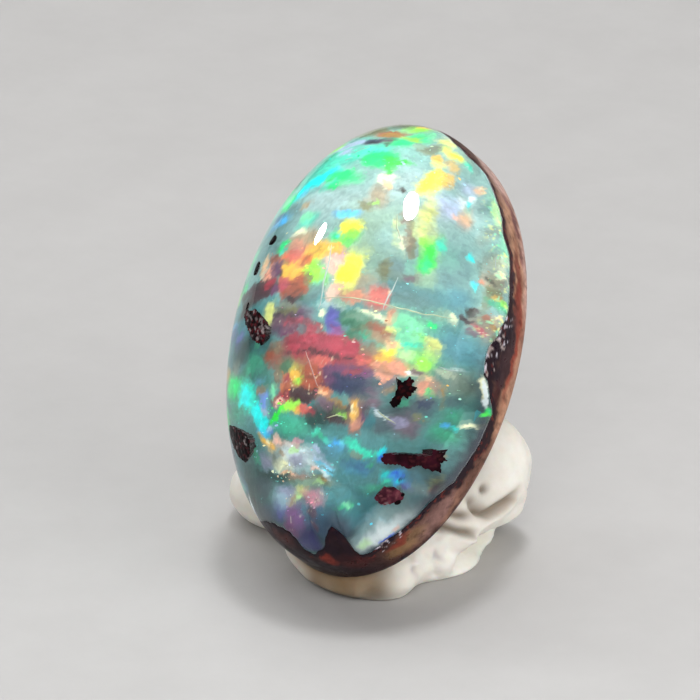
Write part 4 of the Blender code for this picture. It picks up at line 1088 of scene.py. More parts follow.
# The healed cracks. Old breaks inside the clear opal that grew shut again. Each is a whitish sheet, seen
# nearly on its edge, that crosses the stone above the fire.
CRACK_DEPTH, CRACK_THICK, CRACK_STEP, CRACK_WANDER = 0.34, 0.012, 0.09, 0.02
CRACK_COLOURS = paints(white=(226, 232, 230), cream=(226, 222, 180), blush=(226, 168, 160))
# Each is its colour, its half-width and its bends on the laid-out dome.
CRACKS = (
    ("white", 0.030, ((0.02, 1.75), (0.10, 1.2), (0.06, 0.5), (0.14, -0.1), (0.08, -0.3))),
    ("white", 0.024, ((2.45, 0.95), (2.36, 0.5), (2.22, 0.0), (2.2, -0.2))),
    ("cream", 0.022, ((0.15, 0.08), (1.2, 0.12), (2.4, 0.02), (3.5, -0.02), (4.7, 0.12))),
    ("blush", 0.018, ((-0.1, -1.5), (0.16, -2.0), (0.5, -2.6))),
    ("cream", 0.020, ((1.88, 3.05), (2.0, 2.6), (2.3, 2.1))),
    ("white", 0.016, ((-0.75, 5.65), (-0.5, 5.85), (-0.2, 5.98))),
    ("white", 0.014, ((-0.9, 5.3), (-0.6, 5.42))),
    ("cream", 0.022, ((2.5, -3.2), (2.8, -3.42), (3.2, -3.62))),
    ("cream", 0.018, ((0.85, -3.45), (1.2, -3.38), (1.5, -3.42))),
    ("white", 0.020, ((4.4, -1.6), (4.8, -1.66), (5.3, -1.62))),
    ("cream", 0.024, ((6.0, -3.86), (6.6, -3.84), (7.0, -3.66))),
    ("white", 0.018, ((5.9, 3.9), (5.8, 3.3), (5.95, 2.7))),
)


def make_cracks():
    points, faces, colours = [], [], []
    for tint, width, bends in CRACKS:
        bends = np.array(bends)
        length = np.append(0.0, np.cumsum(np.hypot(*np.diff(bends, axis=0).T)))
        steps = np.arange(0.0, length[-1], CRACK_STEP)
        line = np.stack([np.interp(steps, length, bends[:, axis]) for axis in (0, 1)], -1)
        wander = [ramble(line[:, 0], line[:, 1], 0.3, seed) for seed in (201, 211)]
        line += CRACK_WANDER * np.stack(wander, -1)
        ways = np.gradient(line, axis=0)
        ways /= np.hypot(*ways.T)[:, None]
        taper = np.sin(np.linspace(0.06, np.pi - 0.06, len(line))) ** 0.5
        aside = np.stack((-ways[:, 1], ways[:, 0]), -1) * (width * taper)[:, None]
        for side, depth in ((-1, 0.0), (1, 0.0), (1, CRACK_THICK), (-1, CRACK_THICK)):
            places = line + side * aside
            depths = np.full(len(places), CRACK_DEPTH + depth)
            points.append(over_dome(places[:, 0], places[:, 1], depths))
        start, count = 4 * sum(len(part) for part in points[:-4:4]), len(line)
        colours += [CRACK_COLOURS[tint]] * (4 * count)
        step = np.arange(count - 1)
        for edge in range(4):
            here, there = start + edge * count, start + (edge + 1) % 4 * count
            faces += np.stack((here + step, here + step + 1, there + step + 1, there + step), -1).tolist()
        faces.append([start + edge * count for edge in (0, 1, 2, 3)])
        faces.append([start + edge * count + count - 1 for edge in (3, 2, 1, 0)])
    made = solid_mesh("healed_cracks", to_world(np.concatenate(points)), faces)
    give_colour_and_painted_light(made, np.array(colours))
    # the cracks also emit their own colour: a painted glow, though they are no lamp
    finish, *_ = painted_light_and_colour_material(
        "healed_crack", [((0.3, 0.42, 0.38), 0.5)], glow=True, roughness=0.3, emission_strength=0.2,
        alpha=0.45,
    )
    made.data.materials.append(finish)
    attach(made, "root")


make_cracks()


# The fire flakes. Thin plates of packed spheres that float in the clear opal above the fire, each no
# bigger than a pin's head. They throw the sharpest colour.
FLAKE_COUNT, FLAKE_SIDES, FLAKE_THICK, FLAKE_SEAM_GAP = 800, 6, 0.006, 0.05
FLAKE_SMALLEST, FLAKE_SPREAD, FLAKE_SQUASH, FLAKE_LEAN = 0.022, 0.06, 0.55, 0.03
# Where the flakes crowd: place, half-sizes and share kept. Few are kept between these.
FLAKE_ZONES = (
    (5.6, 5.2, 0.7, 1.8, 1.0), (6.3, 2.2, 0.8, 1.4, 1.0), (2.8, 5.6, 0.9, 1.6, 0.7),
    (2.6, -1.6, 1.2, 1.0, 0.8), (0.5, 5.6, 1.6, 1.1, 0.5), (-0.8, 1.2, 1.8, 1.2, 0.5),
    (-0.7, -3.3, 1.6, 0.9, 0.6), (4.6, -2.6, 1.2, 1.4, 0.6), (-0.4, -5.6, 1.5, 1.3, 0.5),
    (3.4, -0.6, 1.2, 1.0, 0.6),
)
FLAKES_BETWEEN = 0.05


def make_flakes():
    draws = np.random.default_rng(301)
    share = np.sqrt(draws.random(FLAKE_COUNT * 4)) * 0.97
    turn = draws.random(FLAKE_COUNT * 4) * 2 * np.pi
    x, y = on_map(share * (seam_at(turn) - FLAKE_SEAM_GAP), turn)
    crowd = np.full(len(x), FLAKES_BETWEEN)
    for across, along, wide, long, kept in FLAKE_ZONES:
        near = np.exp(-(((x - across) / wide) ** 2) - ((y - along) / long) ** 2)
        crowd = np.maximum(crowd, kept * near)
    chosen = np.flatnonzero(draws.random(len(x)) < crowd)[:FLAKE_COUNT]
    x, y = x[chosen], y[chosen]
    count = len(x)
    colours = smooth_fire(x + 0.2 * draws.standard_normal(count), y + 0.15 * draws.standard_normal(count))
    grey = 0.5 * colours.min(1, keepdims=True)
    vivid = (colours - grey) / np.maximum(colours.max(1, keepdims=True) - grey, 1e-6)
    colours = tinted(colours, vivid, draws.uniform(0.0, 0.7, count) ** 1.5)
    size = FLAKE_SMALLEST + FLAKE_SPREAD * draws.random(count) ** 3
    depth = fire_depth(x, y) * draws.uniform(0.35, 0.85, count)
    lean = draws.uniform(-FLAKE_LEAN, FLAKE_LEAN, (2, count))
    spin = draws.random(count) * 2 * np.pi
    wobble = draws.uniform(0.6, 1.25, (FLAKE_SIDES, count))
    rings = []
    for thick in (0.0, FLAKE_THICK):
        for side in range(FLAKE_SIDES):
            way = spin - 2 * np.pi * side / FLAKE_SIDES
            reach = size * wobble[side]
            across, along = np.cos(way), np.sin(way)
            places = x + reach * across, y + FLAKE_SQUASH * reach * along
            rings.append(over_dome(*places, depth + lean[0] * across + lean[1] * along + thick))
    points = np.stack(rings, 1).reshape(-1, 3)
    faces, edges = [], FLAKE_SIDES
    for flake in range(count):
        top, foot = 2 * edges * flake, 2 * edges * flake + edges
        faces.append([top + side for side in range(edges)][::-1])
        faces.append([foot + side for side in range(edges)])
        for side in range(edges):
            after = (side + 1) % edges
            faces.append((top + side, top + after, foot + after, foot + side))
    made = solid_mesh("fire_flakes", to_world(points), faces)
    made.data.shade_flat()
    give_colour_and_painted_light(made, np.repeat(colours, 2 * edges, 0))
    # the flakes also emit their own colours: a painted glow, though they are no lamp
    finish, *_ = painted_light_and_colour_material(
        "fire_flake", [((0.1, 0.3, 0.25), 0.2)], glow=True, roughness=0.25, emission_strength=0.45
    )
    made.data.materials.append(finish)
    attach(made, "root")


make_flakes()


# The rock splinters. Slivers of the brown rock that broke off and were caught in the opal as it set.
# They reach the face, where they are polished level with it, and show nearly black.
OUTLINE_STEP, FILL_STEP, SPLINTER_RISE, SPLINTER_TAPER = 0.05, 0.055, 0.012, 0.6
# Each is its place on the face, its turn, how deep it goes and its outline, in millimetres.
SPLINTERS = {
    "rock_bar": (
        (3.61, -4.70), -10.0, 0.75,
        ((-1.15, -0.25), (-0.60, -0.25), (-0.30, -0.40), (0.05, -0.25), (0.30, -0.40),
         (0.95, -0.55), (0.85, -0.20), (1.15, -0.15), (0.95, 0.00), (1.10, 0.25),
         (0.90, 0.15), (0.50, 0.30), (0.50, 0.05), (-0.60, 0.10), (-1.15, 0.10), (-1.25, -0.10)),
    ),
    "rock_cross": (
        (3.30, -2.79), 61.0, 0.70,
        ((-0.05, 0.20), (-0.25, 0.15), (-0.60, 0.15), (-0.65, -0.10), (-0.40, -0.15),
         (-0.15, -0.10), (-0.15, -0.30), (0.05, -0.30), (0.35, -0.35), (0.30, -0.15),
         (0.50, -0.10), (0.50, 0.10), (0.20, 0.20), (0.25, 0.45)),
    ),
    "rock_leaf": (
        (-2.98, -4.47), -20.0, 0.80,
        ((-1.05, -0.25), (-0.50, -0.45), (0.00, -0.55), (0.70, -0.50), (0.85, -0.35),
         (0.90, -0.05), (0.75, 0.35), (0.35, 0.45), (-0.05, 0.35), (-0.50, 0.30), (-1.15, 0.05)),
    ),
    "rock_flake": (
        (-2.46, -0.76), -40.0, 0.75,
        ((-1.00, -0.30), (-0.50, -0.35), (0.35, -0.40), (0.65, -0.30), (0.95, -0.20),
         (0.95, -0.05), (0.65, 0.30), (0.20, 0.40), (-0.50, 0.35), (-0.85, 0.05), (-1.15, -0.05)),
    ),
    "rock_bead": (
        (2.75, -6.02), -8.0, 0.55,
        ((-0.45, -0.15), (-0.20, -0.35), (0.35, -0.30), (0.55, -0.10), (0.40, 0.05),
         (0.20, 0.25), (-0.15, 0.30), (-0.50, 0.00)),
    ),
}
# Each splinter's main colour, its darkest, and the lighter red painted on facets as glints.
SPLINTER_COLOURS = {
    "rock_bar": paints(main=(56, 18, 30), dark=(28, 9, 15), glint=(74, 30, 34)),
    "rock_cross": paints(main=(16, 7, 8), dark=(8, 4, 5), glint=(70, 16, 18)),
    "rock_leaf": paints(main=(14, 5, 7), dark=(5, 3, 4), glint=(84, 26, 34)),
    "rock_flake": paints(main=(38, 22, 26), dark=(14, 9, 11), glint=(112, 34, 42)),
    "rock_bead": paints(main=(104, 48, 62), dark=(62, 28, 38), glint=(126, 72, 78)),
}
PALE_GLINT, SPECK_COLOUR = srgb(196, 180, 180), srgb(16, 8, 10)
# The share of each splinter's facets painted pale, as glints.
FACET_SHINE = {
    "rock_bar": 0.001, "rock_cross": 0.01, "rock_leaf": 0.08, "rock_flake": 0.26, "rock_bead": 0.04,
}
SPLINTER_JAG, SPECK_JAG, SPECK_SIDES = 0.034, 0.012, 18
FILL_SHAKE, FILL_SHARE, TOP_CHIPS, FOOT_CHIPS = 0.25, 0.93, 0.3, 0.2
GLINT_COVER, PALE_GLINT_COVER = 0.85, 0.7
# Pits and specks: place on the face, turn, half-length, half-width, depth.
SPECKS = (
    (-2.73, 2.51, 55.0, 0.20, 0.12, 0.20),
    (-3.22, 1.53, 86.0, 0.27, 0.13, 0.20),
    (-3.20, 0.10, 80.0, 0.14, 0.05, 0.14),
    (3.08, -5.89, 40.0, 0.07, 0.06, 0.16),
    (2.91, -6.14, 0.0, 0.12, 0.08, 0.16),
)


def jagged(outline, amount, seed):
    """The outline with points added along its sides, each pushed a little in or out."""
    draws = np.random.default_rng(seed)
    corners = np.array(outline)
    points = []
    for here, after in zip(corners, np.roll(corners, -1, 0)):
        side = after - here
        length = float(np.hypot(*side))
        count = max(1, round(length / OUTLINE_STEP))
        normal = np.array((side[1], -side[0])) / length
        for step in range(count):
            push = amount * draws.uniform(-1.0, 1.0) * (0.4 if step == 0 else 1.0)
            points.append(here + side * step / count + normal * push)
    return np.array(points)


def inside_outline(points, outline):
    """Which points lie inside a closed outline."""
    x, y = points[:, 0], points[:, 1]
    within = np.zeros(len(points), bool)
    for (ax, ay), (bx, by) in zip(outline, np.roll(outline, -1, 0)):
        crosses = (ay > y) != (by > y)
        at = ax + (y - ay) * (bx - ax) / np.where(by == ay, 1e-9, by - ay)
        within ^= crosses & (x < at)
    return within


def sliver(place, turn, depth, outline, seed, rise=SPLINTER_RISE):
    """Points, faces and colour shares of one splinter, its top following the polished face."""
    x, y = place
    height = float(over_dome_height(np.array([place]))[0])
    middle = np.array((x, y, height))
    outward = (middle - (0, 0, GIRDLE_HEIGHT)) / HALF**2
    outward /= np.linalg.norm(outward)
    side = np.array((math.cos(math.radians(turn)), math.sin(math.radians(turn)), 0.0))
    along = side - outward * side.dot(outward)
    along /= np.linalg.norm(along)
    across = np.cross(outward, along)
    low, high = outline.min(0), outline.max(0)
    columns = np.arange(low[0] + 0.5 * FILL_STEP, high[0], FILL_STEP)
    rows = np.arange(low[1] + 0.5 * FILL_STEP, high[1], FILL_STEP)
    fill = np.stack(np.meshgrid(columns, rows), -1).reshape(-1, 2)
    draws = np.random.default_rng(seed)
    fill = fill + draws.uniform(-FILL_SHAKE, FILL_SHAKE, fill.shape) * FILL_STEP
    fill = fill[inside_outline(fill, outline * FILL_SHARE)]
    count = len(outline)
    ring = [(index, (index + 1) % count) for index in range(count)]
    flat = [Vector(point) for point in np.concatenate((outline, fill))]
    spots, _, tiles, origins, _, _ = delaunay_2d_cdt(flat, ring, [], 1, 1e-5)
    where = {origin: index for index, found in enumerate(origins) for origin in found}
    spots = np.array([tuple(spot) for spot in spots])
    base = middle + spots[:, :1] * along + spots[:, 1:] * across
    offset = (base - (0, 0, GIRDLE_HEIGHT)) / HALF
    way = outward / HALF
    a, b, c = way.dot(way), offset @ way, (offset**2).sum(1) - 1.0
    lift = (-b + np.sqrt(np.maximum(b * b - a * c, 0.0))) / a
    chip = np.abs(ramble(spots[:, 0] * 1.7 + seed, spots[:, 1] * 1.7, 0.3, 231, 3))
    top = base + (lift + rise * (1.0 - TOP_CHIPS * chip))[:, None] * outward
    narrow = 1.0 - (1.0 - SPLINTER_TAPER) * min(1.0, depth / 0.5)
    deep = middle + spots[:, :1] * narrow * along + spots[:, 1:] * narrow * across
    foot = deep - (depth * (1.0 - FOOT_CHIPS + FOOT_CHIPS * chip))[:, None] * outward
    faces = [list(tile) for tile in tiles]
    faces += [[index + len(spots) for index in reversed(tile)] for tile in tiles]
    for first, second in ring:
        first, second = where[first], where[second]
        faces.append((first, first + len(spots), second + len(spots), second))
    return np.concatenate((top, foot)), faces, spots


def splinter_colours(name, spots):
    """Dark rock in small facets, some painted lighter red and some pale as glints, with a redder end."""
    palette, shine = SPLINTER_COLOURS[name], FACET_SHINE[name]
    _, _, luck = nearest_cells(spots[:, 0] + 5.0, spots[:, 1] + 5.0, 0.13, 0.07, 241)
    mix = smooth_step(-0.2, 0.5, ramble(spots[:, 0] + 3.0, spots[:, 1], 0.5, 251))
    colours = tinted(palette["dark"], palette["main"], mix)
    colours = tinted(colours, palette["glint"], GLINT_COVER * smooth_step(0.72, 0.90, luck))
    colours = tinted(colours, PALE_GLINT, PALE_GLINT_COVER * smooth_step(shine, 0.0, luck) * (luck < shine))
    return np.concatenate((colours, colours))


def make_rock_finish(name, roughness, darkening):
    made, *_ = painted_light_and_colour_material(
        name, [((0.01, 0.004, 0.006), darkening, 5000.0)], relief=(0.5, 0.00003), roughness=roughness,
        specular_ior_level=0.02,
    )
    return made


def make_splinters():
    finish = make_rock_finish("dark_rock_facets", 0.3, 0.5)
    for order, (name, (place, turn, depth, outline)) in enumerate(SPLINTERS.items()):
        edge = jagged(outline, SPLINTER_JAG, 261 + order)
        points, faces, spots = sliver(place, turn, depth, edge, 271 + order)
        made = solid_mesh(name.replace("rock", "splinter"), to_world(points), faces)
        made.data.shade_flat()
        give_colour_and_painted_light(made, splinter_colours(name, spots))
        made.data.materials.append(finish)
        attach(made, "root")
        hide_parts(name)


def make_specks():
    points, faces, count = [], [], 0
    for order, (x, y, turn, long, wide, depth) in enumerate(SPECKS):
        swing = np.linspace(0.0, 2 * np.pi, SPECK_SIDES, endpoint=False)
        outline = np.stack((long * np.cos(swing), wide * np.sin(swing)), -1)
        edge = jagged(outline, SPECK_JAG, 281 + order)
        spots, tiles, _ = sliver((x, y), turn, depth, edge, 291 + order, 1.6 * SPLINTER_RISE)
        points.append(spots)
        faces += [[index + count for index in tile] for tile in tiles]
        count += len(spots)
    made = solid_mesh("rock_specks", to_world(np.concatenate(points)), faces)
    give_colour_and_painted_light(made, np.tile(SPECK_COLOUR, (count, 1)))
    made.data.materials.append(make_rock_finish("black_rock_specks", 0.4, 0.4))
    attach(made, "root")


make_splinters()
make_specks()


# The putty. A pinch of soft white mounting putty, rolled by hand into a lump and pressed on to the table.
# The stone has been pushed into it, and the lump has folded and creased where it gave way.
PUTTY_MIDDLE = np.array((0.3, 0.3, 0.8))
PUTTY_LOBES = (
    ((0.9, -0.6, 1.1), (3.1, 3.2, 2.0)),
    ((-0.4, 1.6, 2.4), (3.8, 2.8, 3.0)),
    ((2.9, 2.6, 2.4), (1.9, 1.8, 2.3)),
    ((-3.4, -0.6, 1.1), (1.6, 1.7, 1.3)),
    ((1.9, -2.6, 0.5), (2.0, 1.2, 0.9)),
    ((3.2, 0.4, 0.7), (1.3, 1.5, 1.0)),
)
LOBE_SHARPNESS, PUTTY_REACH, SEAT_CLEARANCE, CREASE_TAPER = 5.0, 9.0, 0.02, 0.6
REACH_STEP, REACH_HALVINGS = 0.05, 12
PUTTY_ROUGHNESS, CREASE_SHADE_COVER, CREASE_SHADE_POWER = 0.045, 0.85, 0.77
SIDE_SCALE = 5.0  # millimetres that a share of the stone's size counts for at its side
PUTTY_SEGMENTS, PUTTY_RINGS = 440, 188
# The body is the putty's own white. The others are painted shade: in its creases, where it meets the stone,
# and the stone's shadow on it, that last partly also stain from handling.
PUTTY_COLOURS = paints(
    body=(247, 243, 233), fold=(104, 78, 52), warm=(190, 152, 104), shade=(74, 56, 32),
    lilac=(196, 186, 186),
)
# Thumb marks: how far each pushes the skin out, its half-width, the tint of painted shade in its crease
# where it has one, and its bends in millimetres.
THUMB_MARKS = (
    (-0.42, 0.20, "fold", ((4.10, 0.80, 2.45), (4.17, 0.89, 2.32), (4.35, 1.10, 2.07), (4.48, 1.33, 1.95),
                           (4.6, 1.56, 2.0), (4.75, 1.91, 2.19), (4.85, 2.34, 2.33), (4.85, 2.80, 2.52))),
    (0.16, 0.16, None, ((4.41, 1.09, 1.56), (4.54, 1.52, 1.67), (4.73, 1.94, 1.91), (4.85, 2.4, 2.15))),
    (-0.50, 0.55, None, ((4.46, 1.36, 0.5), (4.42, 2.0, 0.7), (4.59, 2.5, 1.0), (4.76, 2.8, 1.4))),
    (-0.14, 0.13, "fold", ((4.27, 1.18, 2.89), (4.28, 1.19, 2.83))),
    (-0.15, 0.15, "fold", ((3.55, -0.35, 2.36), (3.70, -0.10, 2.28), (3.93, 0.26, 2.12), (4.1, 0.6, 2.03),
                           (4.25, 0.9, 1.95))),
    (-0.16, 0.13, "fold", ((3.9, 0.62, 2.72), (4.08, 0.84, 2.5), (4.17, 0.89, 2.32), (4.30, 1.05, 2.12))),
    (-0.21, 0.16, "fold", ((3.60, -1.30, 2.18), (3.70, -0.95, 2.08), (3.92, -0.44, 1.95),
                           (4.19, -0.02, 1.7), (4.43, 0.6, 1.44), (4.50, 0.9, 1.36))),
    (0.16, 0.16, None, ((3.80, -0.95, 1.90), (4.12, -0.4, 1.7), (4.37, -0.01, 1.44), (4.53, 0.5, 1.21))),
    (-0.22, 0.30, None, ((4.3, -0.6, 1.1), (4.35, 0.0, 0.8), (4.4, 0.6, 0.6))),
    (-0.14, 0.18, None, ((3.95, -1.6, 1.3), (4.05, -1.2, 0.8), (4.1, -1.1, 0.3))),
    (-0.10, 0.14, None, ((3.7, -2.7, 1.0), (3.75, -2.6, 0.4))),
    (-0.70, 0.45, None, ((4.50, 0.10, 0.4), (4.50, 0.45, 0.5), (4.40, 1.10, 0.6))),
    (-1.40, 0.50, None, ((3.80, 1.80, 0.2), (4.00, 2.40, 0.2), (4.00, 3.10, 0.2))),
    (0.14, 0.22, None, ((4.07, -0.80, 1.60), (4.10, -0.70, 1.40))),
    (0.14, 0.20, None, ((4.28, -0.25, 1.20), (4.35, 0.10, 1.10))),
    (0.14, 0.26, None, ((3.92, -1.60, 1.35), (3.85, -1.90, 1.20))),
    (-0.16, 0.10, "lilac", ((4.15, -1.20, 1.60), (4.12, -1.15, 1.10), (4.3, -0.70, 0.80))),
    (-0.12, 0.10, "lilac", ((4.00, -2.20, 1.50), (3.95, -2.20, 0.90), (4.05, -1.90, 0.50))),
    (0.22, 0.40, None, ((0.80, -3.55, 0.3), (1.60, -3.90, 0.3), (2.70, -3.80, 0.3))),
    (0.10, 0.20, None, ((3.2, -3.2, 0.9), (3.5, -2.7, 1.1), (3.8, -2.0, 1.2))),
    (-0.10, 0.10, "fold", ((2.9, -3.6, 1.0), (3.2, -3.35, 0.7), (3.3, -3.2, 0.4))),
    (-0.16, 0.30, None, ((4.6, 3.6, 2.6), (4.2, 3.9, 1.4), (3.6, 3.9, 0.4))),
    (-0.20, 0.28, "lilac", ((-2.2, 3.8, 3.4), (-1.4, 4.3, 2.0), (-1.6, 4.2, 0.8))),
    (-0.16, 0.24, None, ((-3.9, 0.6, 2.4), (-4.2, 0.9, 1.2), (-4.0, 0.8, 0.3))),
    (-0.18, 0.26, "lilac", ((1.0, 4.4, 4.0), (1.3, 4.5, 2.4), (1.1, 4.3, 1.0))),
)
# Where the putty is darker: a painted shadow of the stone on it, partly also stain from handling. Place,
# reach and share.
PUTTY_SHADES = (((2.3, -3.9, 0.5), 1.1, 0.95), ((3.3, -3.5, 0.6), 0.8, 0.9), ((1.3, -3.9, 0.3), 0.6, 0.85))


def lobes_sum(places):
    total = 0.0
    for middle, radii in PUTTY_LOBES:
        far = np.sqrt((((places - middle) / radii) ** 2).sum(-1))
        total = total + np.exp(-LOBE_SHARPNESS * (far - 1.0))
    return total


def in_stone(places):
    """How far places are outside the stone, in rough millimetres, negative inside it."""
    local = (places - BACK_MIDDLE) @ STONE_AXES.T
    flat = ((local[..., :2] / (HALF[:2] + SEAT_CLEARANCE)) ** 2).sum(-1)
    dome = np.clip(local[..., 2] - GIRDLE_HEIGHT, 0.0, None) / (HALF[2] + SEAT_CLEARANCE)
    side = np.sqrt(flat + dome**2) - 1.0
    return np.maximum(side * SIDE_SCALE, -(local[..., 2] + SEAT_CLEARANCE))


def putty_reach(ways):
    """How far the lump reaches along each way before its skin, the stone or the table stops it."""

    def in_putty(distance):
        places = PUTTY_MIDDLE + ways * distance
        return (lobes_sum(places) >= 1.0) & (in_stone(places) > 0.0) & (places[:, 2] > 0.0)

    low, going = np.zeros(len(ways)), np.ones(len(ways), bool)
    for distance in np.arange(REACH_STEP, PUTTY_REACH, REACH_STEP):
        going &= in_putty(distance)
        low[going] = distance
    high = low + REACH_STEP
    for _ in range(REACH_HALVINGS):
        half = 0.5 * (low + high)
        inside = in_putty(half[:, None])
        low, high = np.where(inside, half, low), np.where(inside, high, half)
    return low


def far_from_line(places, bends):
    """How far places are from a line of bends, how far along it that is, and the line's length."""
    nearest, along, passed = np.full(len(places), np.inf), np.zeros(len(places)), 0.0
    for here, after in zip(bends[:-1], bends[1:]):
        side = after - here
        length = float(np.linalg.norm(side))
        share = np.clip((places - here) @ side / side.dot(side), 0.0, 1.0)
        far = np.linalg.norm(places - here - share[:, None] * side, axis=1)
        along = np.where(far < nearest, passed + share * length, along)
        nearest = np.minimum(nearest, far)
        passed += length
    return nearest, along, passed


def make_putty():
    swing = np.linspace(0.0, 2 * np.pi, PUTTY_SEGMENTS, endpoint=False)
    rise = np.pi - np.linspace(0.0, np.pi, PUTTY_RINGS + 2)[1:-1]
    ways = np.stack(
        (np.sin(rise)[:, None] * np.cos(swing), np.sin(rise)[:, None] * np.sin(swing),
         np.cos(rise)[:, None] + 0.0 * swing), -1,
    )
    flat = ways.reshape(-1, 3)
    reach = putty_reach(flat)
    skin = PUTTY_MIDDLE + flat * reach[:, None]
    push = PUTTY_ROUGHNESS * ramble(skin[:, 0], skin[:, 2], 1.1, 401)
    push += PUTTY_ROUGHNESS * ramble(skin[:, 1], skin[:, 2], 0.8, 411, 4)
    colours = np.tile(PUTTY_COLOURS["body"], (len(skin), 1))
    # painted shadow of the stone on the putty, partly also stain from handling
    for place, wide, share in PUTTY_SHADES:
        far = np.linalg.norm(skin - place, axis=1) / wide
        colours = tinted(colours, PUTTY_COLOURS["shade"], share * np.exp(-far * far))
    # painted shade where the putty meets the stone: a warm band, and a dark line right at the contact
    for tint, share, wide in (("warm", 0.8, 0.26), ("fold", 0.9, 0.07)):
        near = np.exp(-np.maximum(in_stone(skin), 0.0) / wide)
        colours = tinted(colours, PUTTY_COLOURS[tint], share * near)
    for amount, wide, tint, bends in THUMB_MARKS:
        far, along, length = far_from_line(skin, np.array(bends))
        depth = np.exp(-((far / wide) ** 2))
        if tint and length > CREASE_TAPER:
            depth *= smooth_step(-0.1 * CREASE_TAPER, CREASE_TAPER, np.minimum(along, length - along))
        push += amount * depth
        # painted shade in the crease
        if tint:
            colours = tinted(colours, PUTTY_COLOURS[tint], CREASE_SHADE_COVER * depth**CREASE_SHADE_POWER)
    rest = smooth_step(0.0, 0.3, skin[:, 2]) * smooth_step(0.0, 0.35, in_stone(skin))
    moved = PUTTY_MIDDLE + flat * (reach + push * rest)[:, None]
    fits = (in_stone(moved) > 0.0) & (moved[:, 2] >= 0.0)
    places = np.where(fits[:, None], moved, skin)
    made = ringed_mesh("putty", (places * MM).reshape(ways.shape))
    give_colour_and_painted_light(made, np.concatenate((colours, colours[:1], colours[-1:])))
    finish, *_ = painted_light_and_colour_material(
        "mounting_putty", [((0.5, 0.42, 0.3), 0.16, 1300.0)], relief=(0.35, 0.0001),
        roughness=0.62, subsurface_weight=0.25, subsurface_scale=0.0004,
    )
    made.data.materials.append(finish)
    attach(made, "root")
    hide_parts("mounting_putty")


make_putty()


# The table and the light. A plain pale table, a small lamp overhead, a narrow window to the left and
# soft light all round, seen from the front right and a little above.
FLOOR_HALF = 1.2
CAMERA_TURN, CAMERA_RISE, CAMERA_FAR, CAMERA_LENS, SENSOR = 39.9, 25.0, 0.200, 300.0, 36.0
CAMERA_RIGHT, CAMERA_UP = Vector((0.767, 0.641, 0.0)), Vector((-0.271, 0.324, 0.906))
# The camera looks 1.5 mm to the left of the middle of the stone's back, and a little above it.
AIM = Vector(BACK_MIDDLE) - CAMERA_RIGHT * 1.507 + CAMERA_UP * 0.359
SKY_LIGHT, SKY_LOW, SKY_HIGH = 0.40, (0.10, 0.105, 0.12, 1.0), (1.0, 1.0, 1.0, 1.0)
# Each lamp: the way it lies from the place it shines on, that place in millimetres, how far off it is, its
# width, height and power, whether it shows only as a reflection, and its roll in degrees.
LAMPS = {
    "overhead_lamp": ((-0.039, 0.142, 0.989), (1.4, 0.79, 12.86), 0.30, 0.050, 0.066, 5.0, True, 14.0),
    "left_window": ((-0.749, -0.165, 0.641), (-0.86, -1.26, 11.9), 0.30, 0.020, 0.030, 1.1, True, 50.0),
    "soft_fill": ((0.5, -0.8, 0.7), (0.0, 0.0, 6.0), 0.60, 0.5, 0.5, 1.7, False, 0.0),
    "soft_right": ((0.9, 0.05, 0.35), (0.0, 0.0, 6.0), 0.60, 0.5, 0.5, 1.9, False, 0.0),
    "soft_top": ((-0.3, 0.2, 1.0), (0.0, 0.0, 6.0), 0.60, 0.5, 0.5, 1.9, False, 0.0),
}


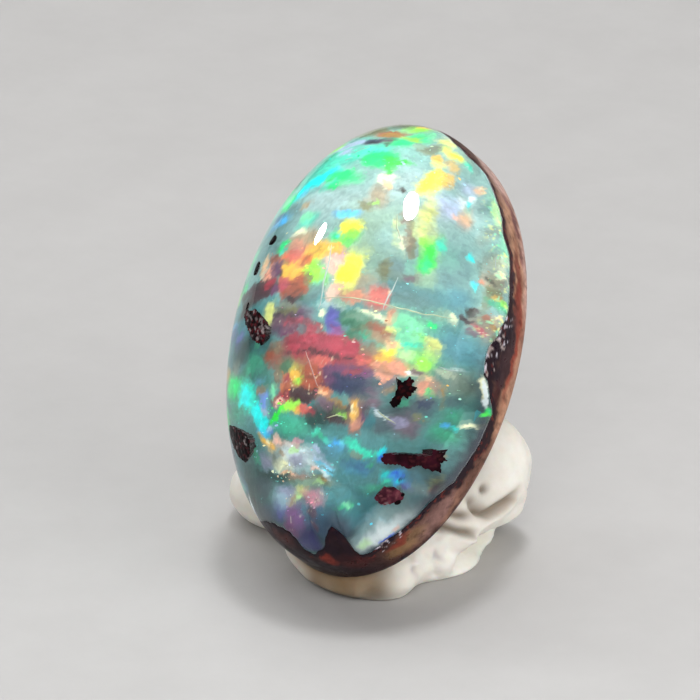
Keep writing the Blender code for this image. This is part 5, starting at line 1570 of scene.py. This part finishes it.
def make_floor():
    shape = bmesh.new()
    corners = [(-1, -1), (1, -1), (1, 1), (-1, 1)]
    shape.faces.new([shape.verts.new((x * FLOOR_HALF, y * FLOOR_HALF, 0.0)) for x, y in corners])
    mesh = bpy.data.meshes.new("table_top")
    shape.to_mesh(mesh)
    shape.free()
    made = put_in_scene("table_top", mesh)
    finish, tree, shader = new_material("pale_table", roughness=0.6)
    grain = mottled(tree, (0.47, 0.46, 0.45, 1.0), (0.39, 0.38, 0.37), 0.3, 300.0)
    tree.links.new(grain.outputs["Colour"], shader.inputs["Base Color"])
    made.data.materials.append(finish)


def make_lamp(name, direction, from_place, far, wide, tall, power, spark, roll):
    lamp = bpy.data.lights.new(name, "AREA")
    lamp.shape, lamp.size, lamp.size_y, lamp.energy = "ELLIPSE", wide, tall, power
    made = put_in_scene(name, lamp)
    way = Vector(direction).normalized()
    made.location = Vector(from_place) * MM + way * far
    rolled = way.to_track_quat("Z", "Y") @ Quaternion((0.0, 0.0, 1.0), math.radians(roll))
    made.rotation_euler = rolled.to_euler()
    made.visible_camera = False
    made.visible_glossy = spark
    made.visible_diffuse = made.visible_transmission = not spark


def make_studio():
    world = bpy.data.worlds.new("studio")
    world.use_nodes = True
    air = world.node_tree.nodes["Background"]
    air.inputs["Strength"].default_value = SKY_LIGHT
    place = add_node(world.node_tree, "ShaderNodeTexCoord")
    parts = add_node(world.node_tree, "ShaderNodeSeparateXYZ", ((0, place.outputs["Generated"]),))
    height = add_node(world.node_tree, "ShaderNodeMapRange", (("Value", parts.outputs["Z"]),))
    sky = add_node(world.node_tree, "ShaderNodeValToRGB", (("Fac", height.outputs[0]),))
    sky.color_ramp.elements[0].color, sky.color_ramp.elements[1].color = SKY_LOW, SKY_HIGH
    world.node_tree.links.new(sky.outputs["Color"], air.inputs["Color"])
    bpy.context.scene.world = world
    for name, lamp in LAMPS.items():
        make_lamp(name, *lamp)


def make_camera():
    turn, rise = math.radians(CAMERA_TURN), math.radians(CAMERA_RISE)
    back = Vector((math.sin(turn) * math.cos(rise), -math.cos(turn) * math.cos(rise), math.sin(rise)))
    lens = bpy.data.cameras.new("camera")
    lens.lens, lens.sensor_width = CAMERA_LENS, SENSOR
    lens.clip_start, lens.clip_end = 0.01, 10.0
    made = put_in_scene("camera", lens)
    made.location = AIM * MM + back * CAMERA_FAR
    made.rotation_mode = "QUATERNION"
    made.rotation_quaternion = back.to_track_quat("Z", "Y")
    bpy.context.scene.camera = made


make_floor()
make_studio()
make_camera()
bpy.context.scene.view_settings.view_transform = "Standard"
